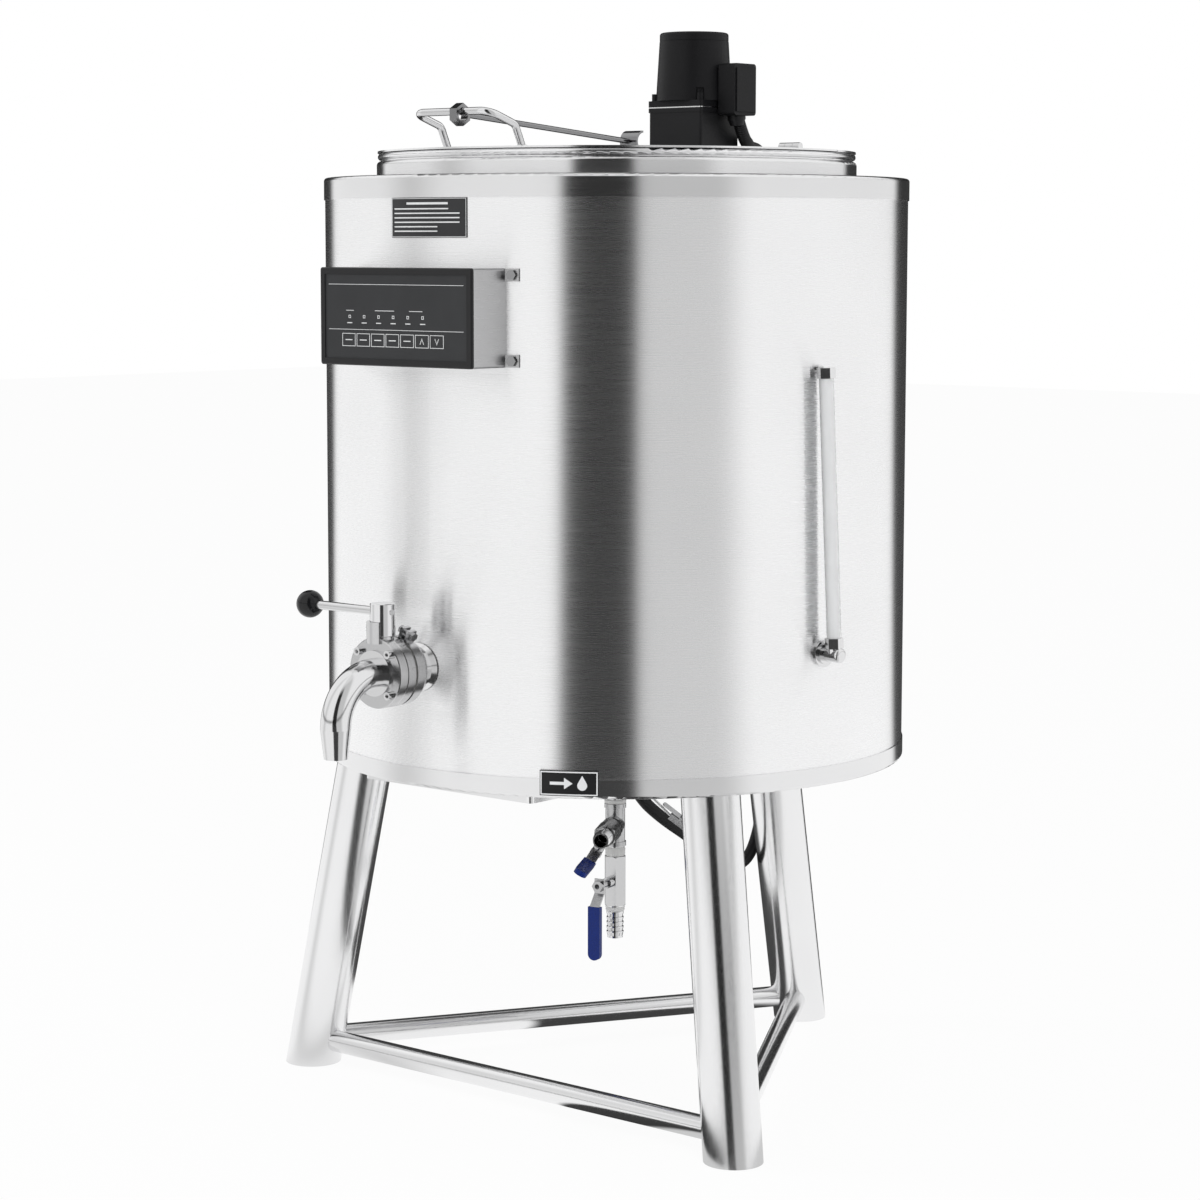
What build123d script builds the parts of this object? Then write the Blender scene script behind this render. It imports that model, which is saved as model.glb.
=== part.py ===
from build123d import *
from math import asin, atan2, cos, degrees, radians, sin, tan
import os

# A jacketed milk pasteurizer on three legs. The origin is on the tank axis at floor level, +Z is
# up, and the outlet valve and the control box face -Y. Azimuths run from -Y towards +X.

# Outer shell and its end caps
shell_r = 325.0
sheet = 1.2
pan_z = 380.0
shell_h = 642.5
top_skirt = 24.0
bottom_skirt = 20.5
cap_edge_round = 3.5

# Neck that closes the gap between shell and vessel
neck_overhang = 5.0
neck_h = 18.5
neck_round = 5.0

# Inner milk vessel
vessel_wall = 2.0
vessel_floor_rise = 106.0
vessel_knuckle = 22.0
bead_r = 3.8
bead_gap = 1.0

# Water jacket and insulation
water_gap = 30.5
foam_t = 29.6
jacket_wall = 1.5
jacket_rise = 25.0
jacket_drop = 37.5
foam_gap = 0.5
foam_clear = 1.0

# Clearances
fit_gap = 0.3
running_gap = 0.06

# Immersion heaters and the cover over their terminals
heater_x = (-70.0, 0.0, 70.0)
heater_inset = 102.0
heater_rod_r = 4.0
heater_half_width = 12.0
heater_rise = 35.0
heater_reach = 290.0
heater_boss_r = 20.0
heater_boss_h = 12.0
cover_half_x = 121.0
cover_front_inset = 42.0
cover_depth = 173.0
cover_h = 10.0

# Legs and braces
leg_names = ("leg_rear", "leg_left", "leg_right")
rear_leg_azimuth = 180.0
leg_r = 31.6
leg_wall = 2.0
leg_splay = 33.5
leg_top_inset = 36.0
foot_plate = 3.0
brace_r = 12.5
brace_wall = 1.5
brace_z = 28.0

# Outlet line and butterfly valve, centred on the plane x = 0
outlet_rise = 22.0
pipe_bore_r = 14.3
pipe_r = 15.9
ferrule_small_r = 22.5
ferrule_large_r = 33.0
outlet_reach = 38.0
ferrule_lip = 11.0
cone_r = 35.5
weld_bead = 4.0
flange_gasket = 3.0
valve_disc_r = 37.0
valve_half = 12.0
seat_r = 20.0
seat_half = 2.0
stem_r = 5.0
flap_r = 14.0
flap_half = 1.5
valve_bolt_circle = 30.5
valve_bolt_r = 2.5
valve_head_r = 4.3
valve_head_h = 5.0
clamp_r = 36.5
clamp_split = 5.0
clamp_turn = 22.0
clamp_ear_h = 14.0
clamp_ear_t = 4.0
clamp_bolt_r = 2.5

# Spout
spout_boss_r = 24.0
spout_boss_h = 3.0
spout_bend_r = 52.0
spout_drop = 82.6
spout_tip_r = 12.2
spout_wall = 1.5

# Outlet handle
hub_r = 13.3
hub_gap = 1.3
hub_h = 34.0
guard_wall = 3.2
guard_h = 15.2
guard_azimuth = -60.0
rod_r = 4.7
rod_rise = 25.2
rod_len = 106.6
knob_r = 14.6
knob_socket = 3.0

# Control box
box_w = 216.0
box_drop = 198.0
box_h = 101.7
box_reach = 33.0
bezel_t = 3.5
bezel_rim = 7.0
overlay_t = 1.0
overlay_depth = 1.2
box_lug = 15.0
box_bolt_out = 6.45515
box_bolt_inset = 7.0
box_bolt_r = 3.0
box_head_r = 5.5
box_head_h = 4.0

# Plates on the shell
plate_t = 0.8
name_plate_azimuth = 2.6
name_plate_w = 96.0
name_plate_h = 41.0
name_plate_drop = 44.9
inlet_plate_azimuth = 31.3
inlet_plate_w = 58.0
inlet_plate_h = 26.5
inlet_plate_rise = 16.6

# Level gauge
gauge_r = 7.8
gauge_wall = 1.5
gauge_top = {"azimuth": 80.2, "standoff": 12.5, "rise": 442.0}
gauge_bottom = {"azimuth": 82.2, "standoff": 17.5, "rise": 142.0}
gauge_stub_r = 4.5
gauge_cap_t = 1.5
gauge_boss_r = 8.0
gauge_boss_reach = 11.0
gauge_nut_r = 10.0
gauge_nut_h = 11.0
wall_flange_r = 14.5
wall_flange_h = 3.5
wall_collar_r = 11.0
wall_collar_h = 2.5

# Lids and hinges
lid_overhang = 4.0
lid_t = 2.0
lid_split_y = 60.0
lid_split_gap = 0.5
lid_lip_clear = 5.0
lid_lip_h = 12.0
lid_lip_t = 1.5
lid_lip_end_y = 25.0
hinge_inset = 69.5
hinge_leaf = 20.0
hinge_leaf_t = 2.0
hinge_w = 27.0
knuckle_r = 4.2
hinge_pin_r = 2.0
middle_knuckle = 10.0

# Lid handle and prop rod
handle_r = 4.0
handle_foot_x = 53.0
handle_foot_inset = 47.0
handle_knee_reach = 11.0
handle_knee_rise = 23.0
grip_reach = 51.5
grip_rise = 36.0
handle_bends = (10.0, 14.0)
ring_x = 12.0
ring_nut_r = 12.0
ring_nut_h = 10.0
ring_bore_r = 7.5
prop_r = 3.0
prop_len = 287.5
saddle_r = 12.0
saddle_t = 2.5
saddle_w = 24.0

# Geared motor
motor_back = 78.0
gear_x = 78.0
gear_y = 72.0
gear_h = 53.2
gear_band_h = 5.0
gear_inset = 1.0
gasket_t = 1.2
flange_t = 7.0
motor_foot_r = 43.5
motor_top_r = 39.3
motor_h = 77.0
motor_cap_h = 10.0
motor_round = 3.0
motor_bolt_inset = 6.5
motor_bolt_r = 4.2
motor_bolt_h = 8.0
shaft_r = 6.0
shaft_grip = 30.0
shaft_hole_gap = 2.0
shaft_end_gap = 34.0

# Agitator paddle
paddle_hub_r = 11.0
paddle_hub_h = 30.0
blade_len = 100.0
blade_w = 46.0
blade_t = 4.0
blade_pitch = 40.0

# Terminal box and conduits
term_gap = 5.0
term_depth = 23.0
term_w = 40.0
term_back = 9.0
term_drop = 10.0
term_h = 58.0
term_tab_t = 6.0
term_lid_t = 1.6
small_conduit_r = 5.0
conduit_r = 7.3
clip_heights = (830.0, 640.0, 470.0)
clip_w = 16.0
clip_t = 1.2
clip_gap = 0.8

# Jacket fill and drain line under the tank
stub_r = 10.2
pipe_thread_r = 10.2
water_bore_r = 7.0
tee_r = 11.2
tee_band_r = 12.4
tee_band_h = 5.0
tee_drop = 62.5
tee_h = 48.8
tee_branch = 27.0
branch_azimuth = 30.7
nipple_gap = 12.0
valve_body_r = 13.4
valve_len = 57.0
inlet_valve_len = 46.0
inlet_gap = 3.0
ball_r = 10.0
ball_bore_r = 6.5
valve_stem_r = 4.0
valve_neck_r = 6.2
drain_stem_azimuth = 12.0
drain_stem_reach = 38.0
inlet_stem_reach = 24.0
inlet_stem_drop = 60.0
neck_len = 22.0
lever_w = 12.0
lever_t = 2.0
grip_w = 15.0
grip_t = 6.0
lever_len = 82.0
lever_jog = 11.0
lever_jog_start = 9.0
lever_jog_end = 22.0
barb_root_r = 8.6
barb_tip_r = 9.8
barb_bore_r = 7.2
barb_len = 32.0
inlet_barb_len = 21.0
barb_pitch = 5.5
tape_len = 6.0
tape_r = 10.6

# Bleed tap on a thin tube
bleed_start = (25.7, 26.0)
bleed_drop = 50.5
bleed_azimuth = 129.6
bleed_tube_slope = 45.5
bleed_slope = 38.0
bleed_lean = 25.0
bleed_tube_r = 1.5
bleed_bore_r = 0.8
bleed_tube_len = 37.5
bleed_body_r = 4.8
bleed_body_len = 24.0
bleed_ball_r = 3.2
bleed_ball_bore_r = 1.5
bleed_stem_r = 1.3
bleed_neck_r = 2.6
bleed_neck_len = 5.6
bleed_reach = 7.2
bleed_lever_len = 27.0
bleed_lever_w = 6.4
bleed_tail_r = 2.8
bleed_tail = 26.0

# Temperature probe in the vessel floor
probe_x = -120.0
probe_y = -60.0
probe_r = 4.0
probe_len = 70.0
probe_nut_r = 9.0
probe_nut_h = 8.0

# Values that follow from the sizes above
shell_top_z = pan_z + shell_h
shell_inner_r = shell_r - 2 * sheet
jacket_r = shell_inner_r - foam_t - 2 * foam_gap
jacket_bottom_z = pan_z + jacket_rise
jacket_top_z = shell_top_z - jacket_drop
vessel_r = jacket_r - water_gap
vessel_inner_r = vessel_r - vessel_wall
vessel_floor_z = pan_z + vessel_floor_rise
neck_r = vessel_r + neck_overhang
neck_top_z = shell_top_z + neck_h
bead_z = neck_top_z + bead_gap + bead_r
lid_r = vessel_r + lid_overhang
lid_lip_r = vessel_inner_r - lid_lip_clear
lid_seat_z = bead_z + bead_r
lid_under_z = lid_seat_z + fit_gap
lid_top_z = lid_under_z + lid_t
rear_lid_top_z = lid_seat_z + lid_t
hinge_z = lid_top_z + fit_gap + knuckle_r
hinge_x = lid_r - hinge_inset
handle_foot_y = handle_foot_inset - lid_r
handle_knee_y = handle_foot_y - handle_knee_reach
grip_y = handle_foot_y - grip_reach
grip_z = lid_top_z + grip_rise
prop_z = grip_z - (ring_bore_r - handle_r - fit_gap)
saddle_y = grip_y + prop_len
heater_y = heater_inset - jacket_r
cover_front_y = cover_front_inset - shell_r
cover_back_y = cover_front_y + cover_depth
leg_foot_radius = shell_r + leg_splay
leg_top_radius = shell_r - leg_top_inset
leg_azimuths = {name: rear_leg_azimuth + 360.0 / len(leg_names) * i for i, name in enumerate(leg_names)}
outlet_z = vessel_floor_z + outlet_rise
ferrule_face_y = -shell_r - outlet_reach
ferrule_back_y = ferrule_face_y + ferrule_lip
rear_body_y = ferrule_face_y - flange_gasket
valve_y = rear_body_y - valve_half
front_body_y = valve_y - valve_half
spout_face_y = front_body_y - spout_boss_h
spout_tip_z = outlet_z - spout_drop
hub_z = outlet_z + valve_disc_r + hub_gap
guard_top_z = hub_z + guard_h
rod_z = hub_z + rod_rise
knob_x = -rod_len
motor_y = lid_split_y + motor_back
gear_z_top = rear_lid_top_z + gear_h
gear_top_z = gear_z_top + gasket_t
flange_top_z = gear_top_z + flange_t
motor_top_z = flange_top_z + motor_h
motor_cap_z = motor_top_z - motor_cap_h
shaft_end_z = vessel_floor_z + vessel_wall + shaft_end_gap
term_x_lo = gear_x / 2 + term_gap
term_x_hi = term_x_lo + term_depth
term_y_lo = motor_y + term_back - term_w / 2
term_y_hi = term_y_lo + term_w
term_z_lo = gear_top_z - term_drop
term_z_hi = term_z_lo + term_h
box_front_y = -shell_r - box_reach
box_bolt_azimuth = degrees(asin((box_w / 2 + box_bolt_out) / (shell_r - sheet)))
box_z_lo = shell_top_z - box_drop
box_z_hi = box_z_lo + box_h
name_plate_z = shell_top_z - name_plate_drop
inlet_plate_z = pan_z + inlet_plate_rise
tee_z_top = pan_z - tee_drop
tee_z_bottom = tee_z_top - tee_h
bleed_knee_z = pan_z - bleed_drop
tee_z = (tee_z_top + tee_z_bottom) / 2
drain_valve_z = tee_z_bottom - nipple_gap - valve_len / 2
inlet_valve_reach = tee_branch + inlet_gap + inlet_valve_len / 2
leg_lean = atan2(leg_foot_radius - leg_top_radius, pan_z)


def post(radius, z_lo, z_hi, x=0.0, y=0.0):
    return Pos(x, y, (z_lo + z_hi) / 2) * Cylinder(radius, z_hi - z_lo)


def pipe(outer, inner, z_lo, z_hi, x=0.0, y=0.0):
    return post(outer, z_lo, z_hi, x, y) - post(inner, z_lo - 1, z_hi + 1, x, y)


def bar_y(radius, y_lo, y_hi, x=0.0, z=0.0):
    return Pos(x, (y_lo + y_hi) / 2, z) * Rot(90, 0, 0) * Cylinder(radius, y_hi - y_lo)


def bar_x(radius, x_lo, x_hi, y=0.0, z=0.0):
    return Pos((x_lo + x_hi) / 2, y, z) * Rot(0, 90, 0) * Cylinder(radius, x_hi - x_lo)


def block(x_lo, x_hi, y_lo, y_hi, z_lo, z_hi):
    centre = Pos((x_lo + x_hi) / 2, (y_lo + y_hi) / 2, (z_lo + z_hi) / 2)
    return centre * Box(x_hi - x_lo, y_hi - y_lo, z_hi - z_lo)


def bar_between(start, end, radius):
    run = Vector(*end) - Vector(*start)
    return extrude(Plane(origin=start, z_dir=run) * Circle(radius), run.length)


def hex_bar(across_corners_r, length):
    return extrude(RegularPolygon(across_corners_r, 6), length)


def turned(points, rounds=()):
    """Revolve a closed outline of (radius, z) points, with named corners rounded first."""
    face = make_face(Plane.XZ * Polyline(*points, close=True))
    for corner, radius in rounds:
        target = Vector(corner[0], 0, corner[1])
        vertex = min(face.vertices(), key=lambda v: (Vector(*tuple(v)) - target).length)
        face = fillet(vertex, radius)
    return revolve(face, Axis.Z)


def turned_y(points, z):
    """Revolve an outline of (radius, y) points about a line along Y at height z."""
    face = make_face(Polyline(*points, close=True))
    return Pos(0, 0, z) * revolve(face, Axis.Y)


def at_azimuth(angle):
    return Rot(0, 0, angle)


def on_azimuth(angle, radius, z=0.0):
    return (radius * sin(radians(angle)), -radius * cos(radians(angle)), z)


def leg_radius_at(z):
    return leg_foot_radius - z * tan(leg_lean)


def wire_sweep(points, radii, radius):
    path = FilletPolyline(*points, radius=radii)
    section = Plane(origin=points[0], z_dir=Vector(*points[1]) - Vector(*points[0])) * Circle(radius)
    return sweep(section, path=path)


def outlet_hole(radius):
    return bar_y(radius, -shell_r - 10, -vessel_inner_r + 40, 0, outlet_z)


def gauge_hole_r(end):
    return gauge_boss_r if end is gauge_bottom else gauge_stub_r


def gauge_hole(end, radius):
    hole = bar_y(radius, -shell_r - 10, -jacket_r + 20, 0, pan_z + end["rise"])
    return at_azimuth(end["azimuth"]) * hole


def outer_shell():
    wall = pipe(shell_r - sheet, shell_r - 2 * sheet, pan_z + cap_edge_round, shell_top_z - cap_edge_round)
    wall -= outlet_hole(pipe_r)
    for end in (gauge_top, gauge_bottom):
        wall -= gauge_hole(end, gauge_hole_r(end))
    return wall


def shell_top_ring():
    low = shell_top_z - top_skirt
    inner = shell_r - sheet
    neck_in = neck_r - sheet
    outline = [
        (shell_r, low), (shell_r, shell_top_z), (neck_r, shell_top_z), (neck_r, neck_top_z),
        (vessel_r, neck_top_z), (vessel_r, neck_top_z - sheet), (neck_in, neck_top_z - sheet),
        (neck_in, shell_top_z - sheet), (inner, shell_top_z - sheet), (inner, low),
    ]
    rounds = [
        ((shell_r, shell_top_z), cap_edge_round),
        ((inner, shell_top_z - sheet), cap_edge_round - sheet),
        ((neck_r, neck_top_z), neck_round - 0.5),
        ((neck_in, neck_top_z - sheet), neck_round - 0.5 - sheet),
    ]
    return turned(outline, rounds)


def shell_bottom_pan():
    inner = shell_r - sheet
    outline = [
        (shell_r, pan_z + bottom_skirt), (shell_r, pan_z), (0, pan_z), (0, pan_z + sheet),
        (inner, pan_z + sheet), (inner, pan_z + bottom_skirt),
    ]
    rounds = [((shell_r, pan_z), cap_edge_round), ((inner, pan_z + sheet), cap_edge_round - sheet)]
    pan = turned(outline, rounds)
    pan -= post(stub_r + foam_clear, pan_z - 1, pan_z + 5)
    pan -= post(bleed_tube_r + foam_clear, pan_z - 1, pan_z + 5, *bleed_start)
    pan -= power_conduit()
    for x in heater_x:
        pan -= post(heater_boss_r + foam_clear, pan_z - 1, pan_z + 5, x, heater_y)
    return pan


def inner_vessel():
    rim = lid_seat_z - bead_r
    outline = [
        (vessel_r, rim), (vessel_r, vessel_floor_z), (0, vessel_floor_z),
        (0, vessel_floor_z + vessel_wall), (vessel_inner_r, vessel_floor_z + vessel_wall),
        (vessel_inner_r, rim),
    ]
    rounds = [
        ((vessel_r, vessel_floor_z), vessel_knuckle),
        ((vessel_inner_r, vessel_floor_z + vessel_wall), vessel_knuckle - vessel_wall),
    ]
    vessel = turned(outline, rounds)
    vessel += Pos(0, 0, bead_z) * Torus(vessel_r, bead_r)
    vessel -= outlet_hole(pipe_r)
    vessel -= post(probe_r, vessel_floor_z - 5, vessel_floor_z + 10, probe_x, probe_y)
    return vessel


def jacket_tank():
    inner = jacket_r - jacket_wall
    outline = [
        (vessel_r, jacket_top_z), (jacket_r, jacket_top_z), (jacket_r, jacket_bottom_z),
        (0, jacket_bottom_z), (0, jacket_bottom_z + jacket_wall),
        (inner, jacket_bottom_z + jacket_wall), (inner, jacket_top_z - jacket_wall),
        (vessel_r, jacket_top_z - jacket_wall),
    ]
    jacket = turned(outline)
    jacket -= outlet_hole(pipe_r)
    for end in (gauge_top, gauge_bottom):
        jacket -= gauge_hole(end, gauge_hole_r(end))
    jacket -= post(water_bore_r, jacket_bottom_z - 1, jacket_bottom_z + 5)
    jacket -= post(bleed_bore_r, jacket_bottom_z - 1, jacket_bottom_z + 5, *bleed_start)
    for x in heater_x:
        for side in (-heater_half_width, heater_half_width):
            jacket -= post(heater_rod_r, jacket_bottom_z - 1, jacket_bottom_z + 5, x + side, heater_y)
    return jacket


def insulation():
    foam = pipe(shell_inner_r - foam_gap, jacket_r + foam_gap, jacket_bottom_z, shell_top_z - 5)
    foam -= outlet_hole(pipe_r + foam_clear)
    for end in (gauge_top, gauge_bottom):
        foam -= gauge_hole(end, gauge_hole_r(end) + foam_clear)
    return foam


def heating_element(x):
    low = jacket_bottom_z - heater_boss_h
    high = jacket_bottom_z + heater_rise
    left = x - heater_half_width
    right = x + heater_half_width
    far = heater_y + heater_reach
    points = [
        (left, heater_y, low), (left, heater_y, high), (left, far, high),
        (right, far, high), (right, heater_y, high), (right, heater_y, low),
    ]
    rod = wire_sweep(points, 11.0, heater_rod_r)
    boss = Pos(x, heater_y, low) * hex_bar(heater_boss_r, heater_boss_h)
    return rod + boss


def heating_elements():
    return Compound(children=[heating_element(x) for x in heater_x])


def heater_cover():
    low = pan_z - cover_h
    outer = block(-cover_half_x, cover_half_x, cover_front_y, cover_back_y, low, pan_z)
    outer = fillet(outer.edges().filter_by(Axis.Z), 6.0)
    inner = block(-cover_half_x + sheet, cover_half_x - sheet, cover_front_y + sheet,
                  cover_back_y - sheet, low + sheet, pan_z + 1)
    return outer - fillet(inner.edges().filter_by(Axis.Z), 6.0 - sheet)


def leg_axis(azimuth, radius):
    """Solid round bar along the leg's axis, longer than the leg at both ends."""
    low = on_azimuth(azimuth, leg_radius_at(-40.0), -40.0)
    high = on_azimuth(azimuth, leg_radius_at(pan_z + 40.0), pan_z + 40.0)
    return bar_between(low, high, radius)


def leg(azimuth):
    reach = leg_foot_radius + 60.0
    slab = post(reach, 0, pan_z)
    hollow = post(reach, foot_plate, pan_z)
    outer = leg_axis(azimuth, leg_r) & slab
    return outer - (leg_axis(azimuth, leg_r - leg_wall) & hollow)


def leg_brace(first, second):
    radius = leg_radius_at(brace_z)
    start = on_azimuth(first, radius, brace_z)
    end = on_azimuth(second, radius, brace_z)
    brace = bar_between(start, end, brace_r) - bar_between(start, end, brace_r - brace_wall)
    for azimuth in (first, second):
        brace -= leg_axis(azimuth, leg_r)
    return brace


def outlet_pipe():
    tube = bar_y(pipe_r, ferrule_back_y, -vessel_inner_r + 20, 0, outlet_z)
    tube -= post(vessel_inner_r, outlet_z - 40, outlet_z + 40)
    ferrule = turned_y([
        (0, -shell_r + 12), (ferrule_small_r, -shell_r + 12), (ferrule_small_r, -shell_r - 3),
        (cone_r, ferrule_back_y + fit_gap), (ferrule_large_r, ferrule_back_y + fit_gap),
        (ferrule_large_r, ferrule_face_y), (0, ferrule_face_y),
    ], outlet_z)
    bead = turned_y([
        (0, -shell_r + 12), (ferrule_small_r + weld_bead, -shell_r + 12),
        (ferrule_small_r + weld_bead, -shell_r + 1), (ferrule_small_r, -shell_r - weld_bead),
        (0, -shell_r - weld_bead),
    ], outlet_z)
    flared = (ferrule + bead) - post(shell_r, outlet_z - 60, outlet_z + 60)
    return tube + flared - bar_y(pipe_bore_r, ferrule_face_y - 1, -150, 0, outlet_z)


def valve_clamp():
    band = turned_y([
        (ferrule_large_r, ferrule_face_y), (clamp_r, ferrule_face_y),
        (clamp_r, ferrule_back_y), (ferrule_large_r, ferrule_back_y),
    ], 0)
    band -= block(-clamp_split / 2, clamp_split / 2, ferrule_face_y - 1, ferrule_back_y + 1,
                  0, clamp_r + 5)
    ear_z = clamp_r + clamp_ear_h / 2
    ear_top = clamp_r + clamp_ear_h - 2
    centre_y = (ferrule_face_y + ferrule_back_y) / 2
    half = ferrule_lip / 2
    for side in (-1, 1):
        near = clamp_split / 2
        far = near + clamp_ear_t
        lo, hi = sorted((side * near, side * far))
        ear = block(lo, hi, centre_y - half, centre_y + half, ferrule_large_r + 1, ear_top)
        band += ear - bar_x(clamp_bolt_r, -20, 20, centre_y, ear_z)
    reach = clamp_split / 2 + clamp_ear_t
    bolt = bar_x(clamp_bolt_r, -reach - 5, reach, centre_y, ear_z)
    bolt += Pos(reach, centre_y, ear_z) * Rot(0, 90, 0) * hex_bar(4.6, 4.0)
    nut = Pos(-reach - 4, centre_y, ear_z) * Rot(0, 90, 0) * hex_bar(4.6, 4.0)
    nut -= bar_x(clamp_bolt_r, -reach - 6, 0, centre_y, ear_z)
    turn = Pos(0, 0, outlet_z) * Rot(0, clamp_turn, 0)
    return Compound(children=[turn * piece for piece in (band, bolt, nut)])


def valve_bolt_places():
    return [(valve_bolt_circle * cos(radians(a)), valve_bolt_circle * sin(radians(a)))
            for a in (45, 135, 225, 315)]


def stem_bore():
    return post(stem_r + running_gap, outlet_z, hub_z + 1, 0, valve_y)


def valve_half_disc(y_lo, y_hi, seat_lo, seat_hi):
    disc = bar_y(valve_disc_r, y_lo, y_hi, 0, outlet_z)
    disc = chamfer(disc.edges().filter_by(GeomType.CIRCLE), 0.8)
    disc += post(hub_r - 2, outlet_z + valve_disc_r - 3, hub_z - fit_gap, 0, valve_y) \
        & block(-20, 20, y_lo, y_hi, outlet_z, hub_z)
    disc -= bar_y(pipe_bore_r, y_lo - 1, y_hi + 1, 0, outlet_z)
    disc -= bar_y(seat_r, seat_lo, seat_hi, 0, outlet_z)
    disc -= stem_bore()
    for x, z in valve_bolt_places():
        disc -= bar_y(valve_bolt_r, y_lo - 1, y_hi + 1, x, outlet_z + z)
    return disc


def valve_body_rear():
    return valve_half_disc(valve_y, rear_body_y, valve_y - 1, valve_y + seat_half)


def valve_body_front():
    body = valve_half_disc(front_body_y, valve_y, valve_y - seat_half, valve_y + 1)
    reach = hub_r + fit_gap + guard_wall
    guard = pipe(reach, hub_r + fit_gap, outlet_z + valve_disc_r - 6, guard_top_z)
    guard &= at_azimuth(guard_azimuth) * block(-reach, reach, -reach, 0, outlet_z, guard_top_z)
    guard = Pos(0, valve_y, 0) * guard
    behind = block(-reach, reach, valve_y, valve_y + reach, outlet_z, hub_z - fit_gap)
    body += guard - behind - bar_y(valve_disc_r - 1, front_body_y, valve_y + 1, 0, outlet_z)
    return body


def valve_seals():
    gasket = bar_y(ferrule_large_r - 1, rear_body_y, ferrule_face_y, 0, outlet_z)
    gasket -= bar_y(pipe_bore_r, rear_body_y - 1, ferrule_face_y + 1, 0, outlet_z)
    seat = bar_y(seat_r, valve_y - seat_half, valve_y + seat_half, 0, outlet_z)
    seat -= bar_y(pipe_bore_r, valve_y - 5, valve_y + 5, 0, outlet_z)
    seat -= stem_bore()
    return Compound(children=[gasket, seat])


def valve_bolts():
    bolts = []
    for x, z in valve_bolt_places():
        shank = bar_y(valve_bolt_r, front_body_y, rear_body_y, x, outlet_z + z)
        head = bar_y(valve_head_r, front_body_y - valve_head_h, front_body_y, x, outlet_z + z)
        socket = Pos(x, front_body_y - valve_head_h, outlet_z + z) * Rot(-90, 0, 0) * hex_bar(2.4, 3.0)
        bolts.append(shank + head - socket)
    return Compound(children=bolts)


def spout_elbow():
    bend_y = spout_face_y - 3.0
    turn_z = outlet_z - spout_bend_r
    drop_y = bend_y - spout_bend_r
    path = Line((0, spout_face_y + 1, outlet_z), (0, bend_y, outlet_z))
    path += Edge.make_circle(spout_bend_r, Plane(origin=(0, bend_y, turn_z), x_dir=(0, 0, 1),
                                                 z_dir=(1, 0, 0)), 0, 90)
    section = Plane(origin=(0, spout_face_y + 1, outlet_z), z_dir=(0, -1, 0)) * Circle(pipe_r)
    core = Plane(origin=(0, spout_face_y + 1, outlet_z), z_dir=(0, -1, 0)) * Circle(pipe_bore_r)
    bend = sweep(section, path=path) - sweep(core, path=path)
    tip = turned([
        (pipe_bore_r, turn_z), (pipe_r, turn_z), (spout_tip_r, spout_tip_z),
        (spout_tip_r - spout_wall, spout_tip_z),
    ])
    boss = bar_y(spout_boss_r, spout_face_y, front_body_y, 0, outlet_z)
    boss -= bar_y(pipe_bore_r, spout_face_y - 1, front_body_y + 1, 0, outlet_z)
    return boss + bend + Pos(0, drop_y, 0) * tip


def outlet_handle():
    hub = post(hub_r, hub_z, hub_z + hub_h, 0, valve_y)
    hub = chamfer(hub.edges().filter_by(GeomType.CIRCLE), 0.6)
    hub -= post(stem_r, hub_z - 1, hub_z + hub_h - 8, 0, valve_y)
    rod = bar_x(rod_r, knob_x + knob_r - knob_socket, -hub_r + 2, valve_y, rod_z)
    pin = bar_x(rod_r - 1.6, hub_r - 1, hub_r + 0.5, valve_y, rod_z)
    return hub + rod + pin


def outlet_flap():
    stem = post(stem_r, outlet_z - flap_r + 4, hub_z + hub_h - 8, 0, valve_y)
    stem &= block(-stem_r, stem_r, valve_y - stem_r, valve_y + stem_r, outlet_z + flap_r - 2,
                  hub_z + hub_h)
    flap = bar_y(flap_r, valve_y - flap_half, valve_y + flap_half, 0, outlet_z)
    spine = post(3.2, outlet_z - flap_r + 2, outlet_z + flap_r, 0, valve_y)
    spine &= Pos(0, valve_y, outlet_z) * Sphere(flap_r)
    return stem + flap + spine


def handle_knob():
    ball = Pos(knob_x, valve_y, rod_z) * Sphere(knob_r)
    floor_x = knob_x + knob_r - knob_socket - fit_gap
    return ball - bar_x(rod_r + fit_gap, floor_x, knob_x + knob_r, valve_y, rod_z)


def control_box():
    half = box_w / 2
    back = box_front_y + bezel_t
    outer = block(-half, half, back, -shell_r / 2, box_z_lo, box_z_hi)
    outer = fillet(outer.edges().filter_by(Axis.Y), 3.0)
    inner = block(-half + sheet, half - sheet, back + sheet, 0, box_z_lo + sheet, box_z_hi - sheet)
    box = outer - inner - post(shell_r - sheet, box_z_lo - 1, box_z_hi + 1)
    lug_r = shell_r - sheet
    for side in (-1, 1):
        for z in (box_z_lo + box_bolt_inset, box_z_hi - box_bolt_inset):
            lug = block(-box_lug / 2, box_lug / 2, -lug_r - 4, -lug_r + 12, z - 6.5, z + 6.5)
            lug -= post(lug_r, z - 10, z + 10)
            lug &= post(lug_r + 2.0, z - 10, z + 10)
            lug -= bar_y(box_bolt_r, -lug_r - 10, -lug_r + 20, 0, z)
            lug = at_azimuth(side * box_bolt_azimuth) * lug
            box += lug - block(-half + 1, half - 1, back, -shell_r / 2, box_z_lo, box_z_hi)
    return box


def panel_bezel():
    half = box_w / 2
    back = box_front_y + bezel_t
    frame = block(-half, half, box_front_y, back, box_z_lo, box_z_hi)
    frame = fillet(frame.edges().filter_by(Axis.Y), 3.0)
    frame = chamfer(frame.faces().sort_by(Axis.Y)[0].edges(), 1.2)
    window = block(-half + bezel_rim, half - bezel_rim, box_front_y - 1,
                   box_front_y + overlay_depth + overlay_t, box_z_lo + bezel_rim, box_z_hi - bezel_rim)
    return frame - window


def panel_overlay():
    half = box_w / 2 - bezel_rim
    front = box_front_y + overlay_depth
    return block(-half, half, front, front + overlay_t, box_z_lo + bezel_rim, box_z_hi - bezel_rim)


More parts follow.
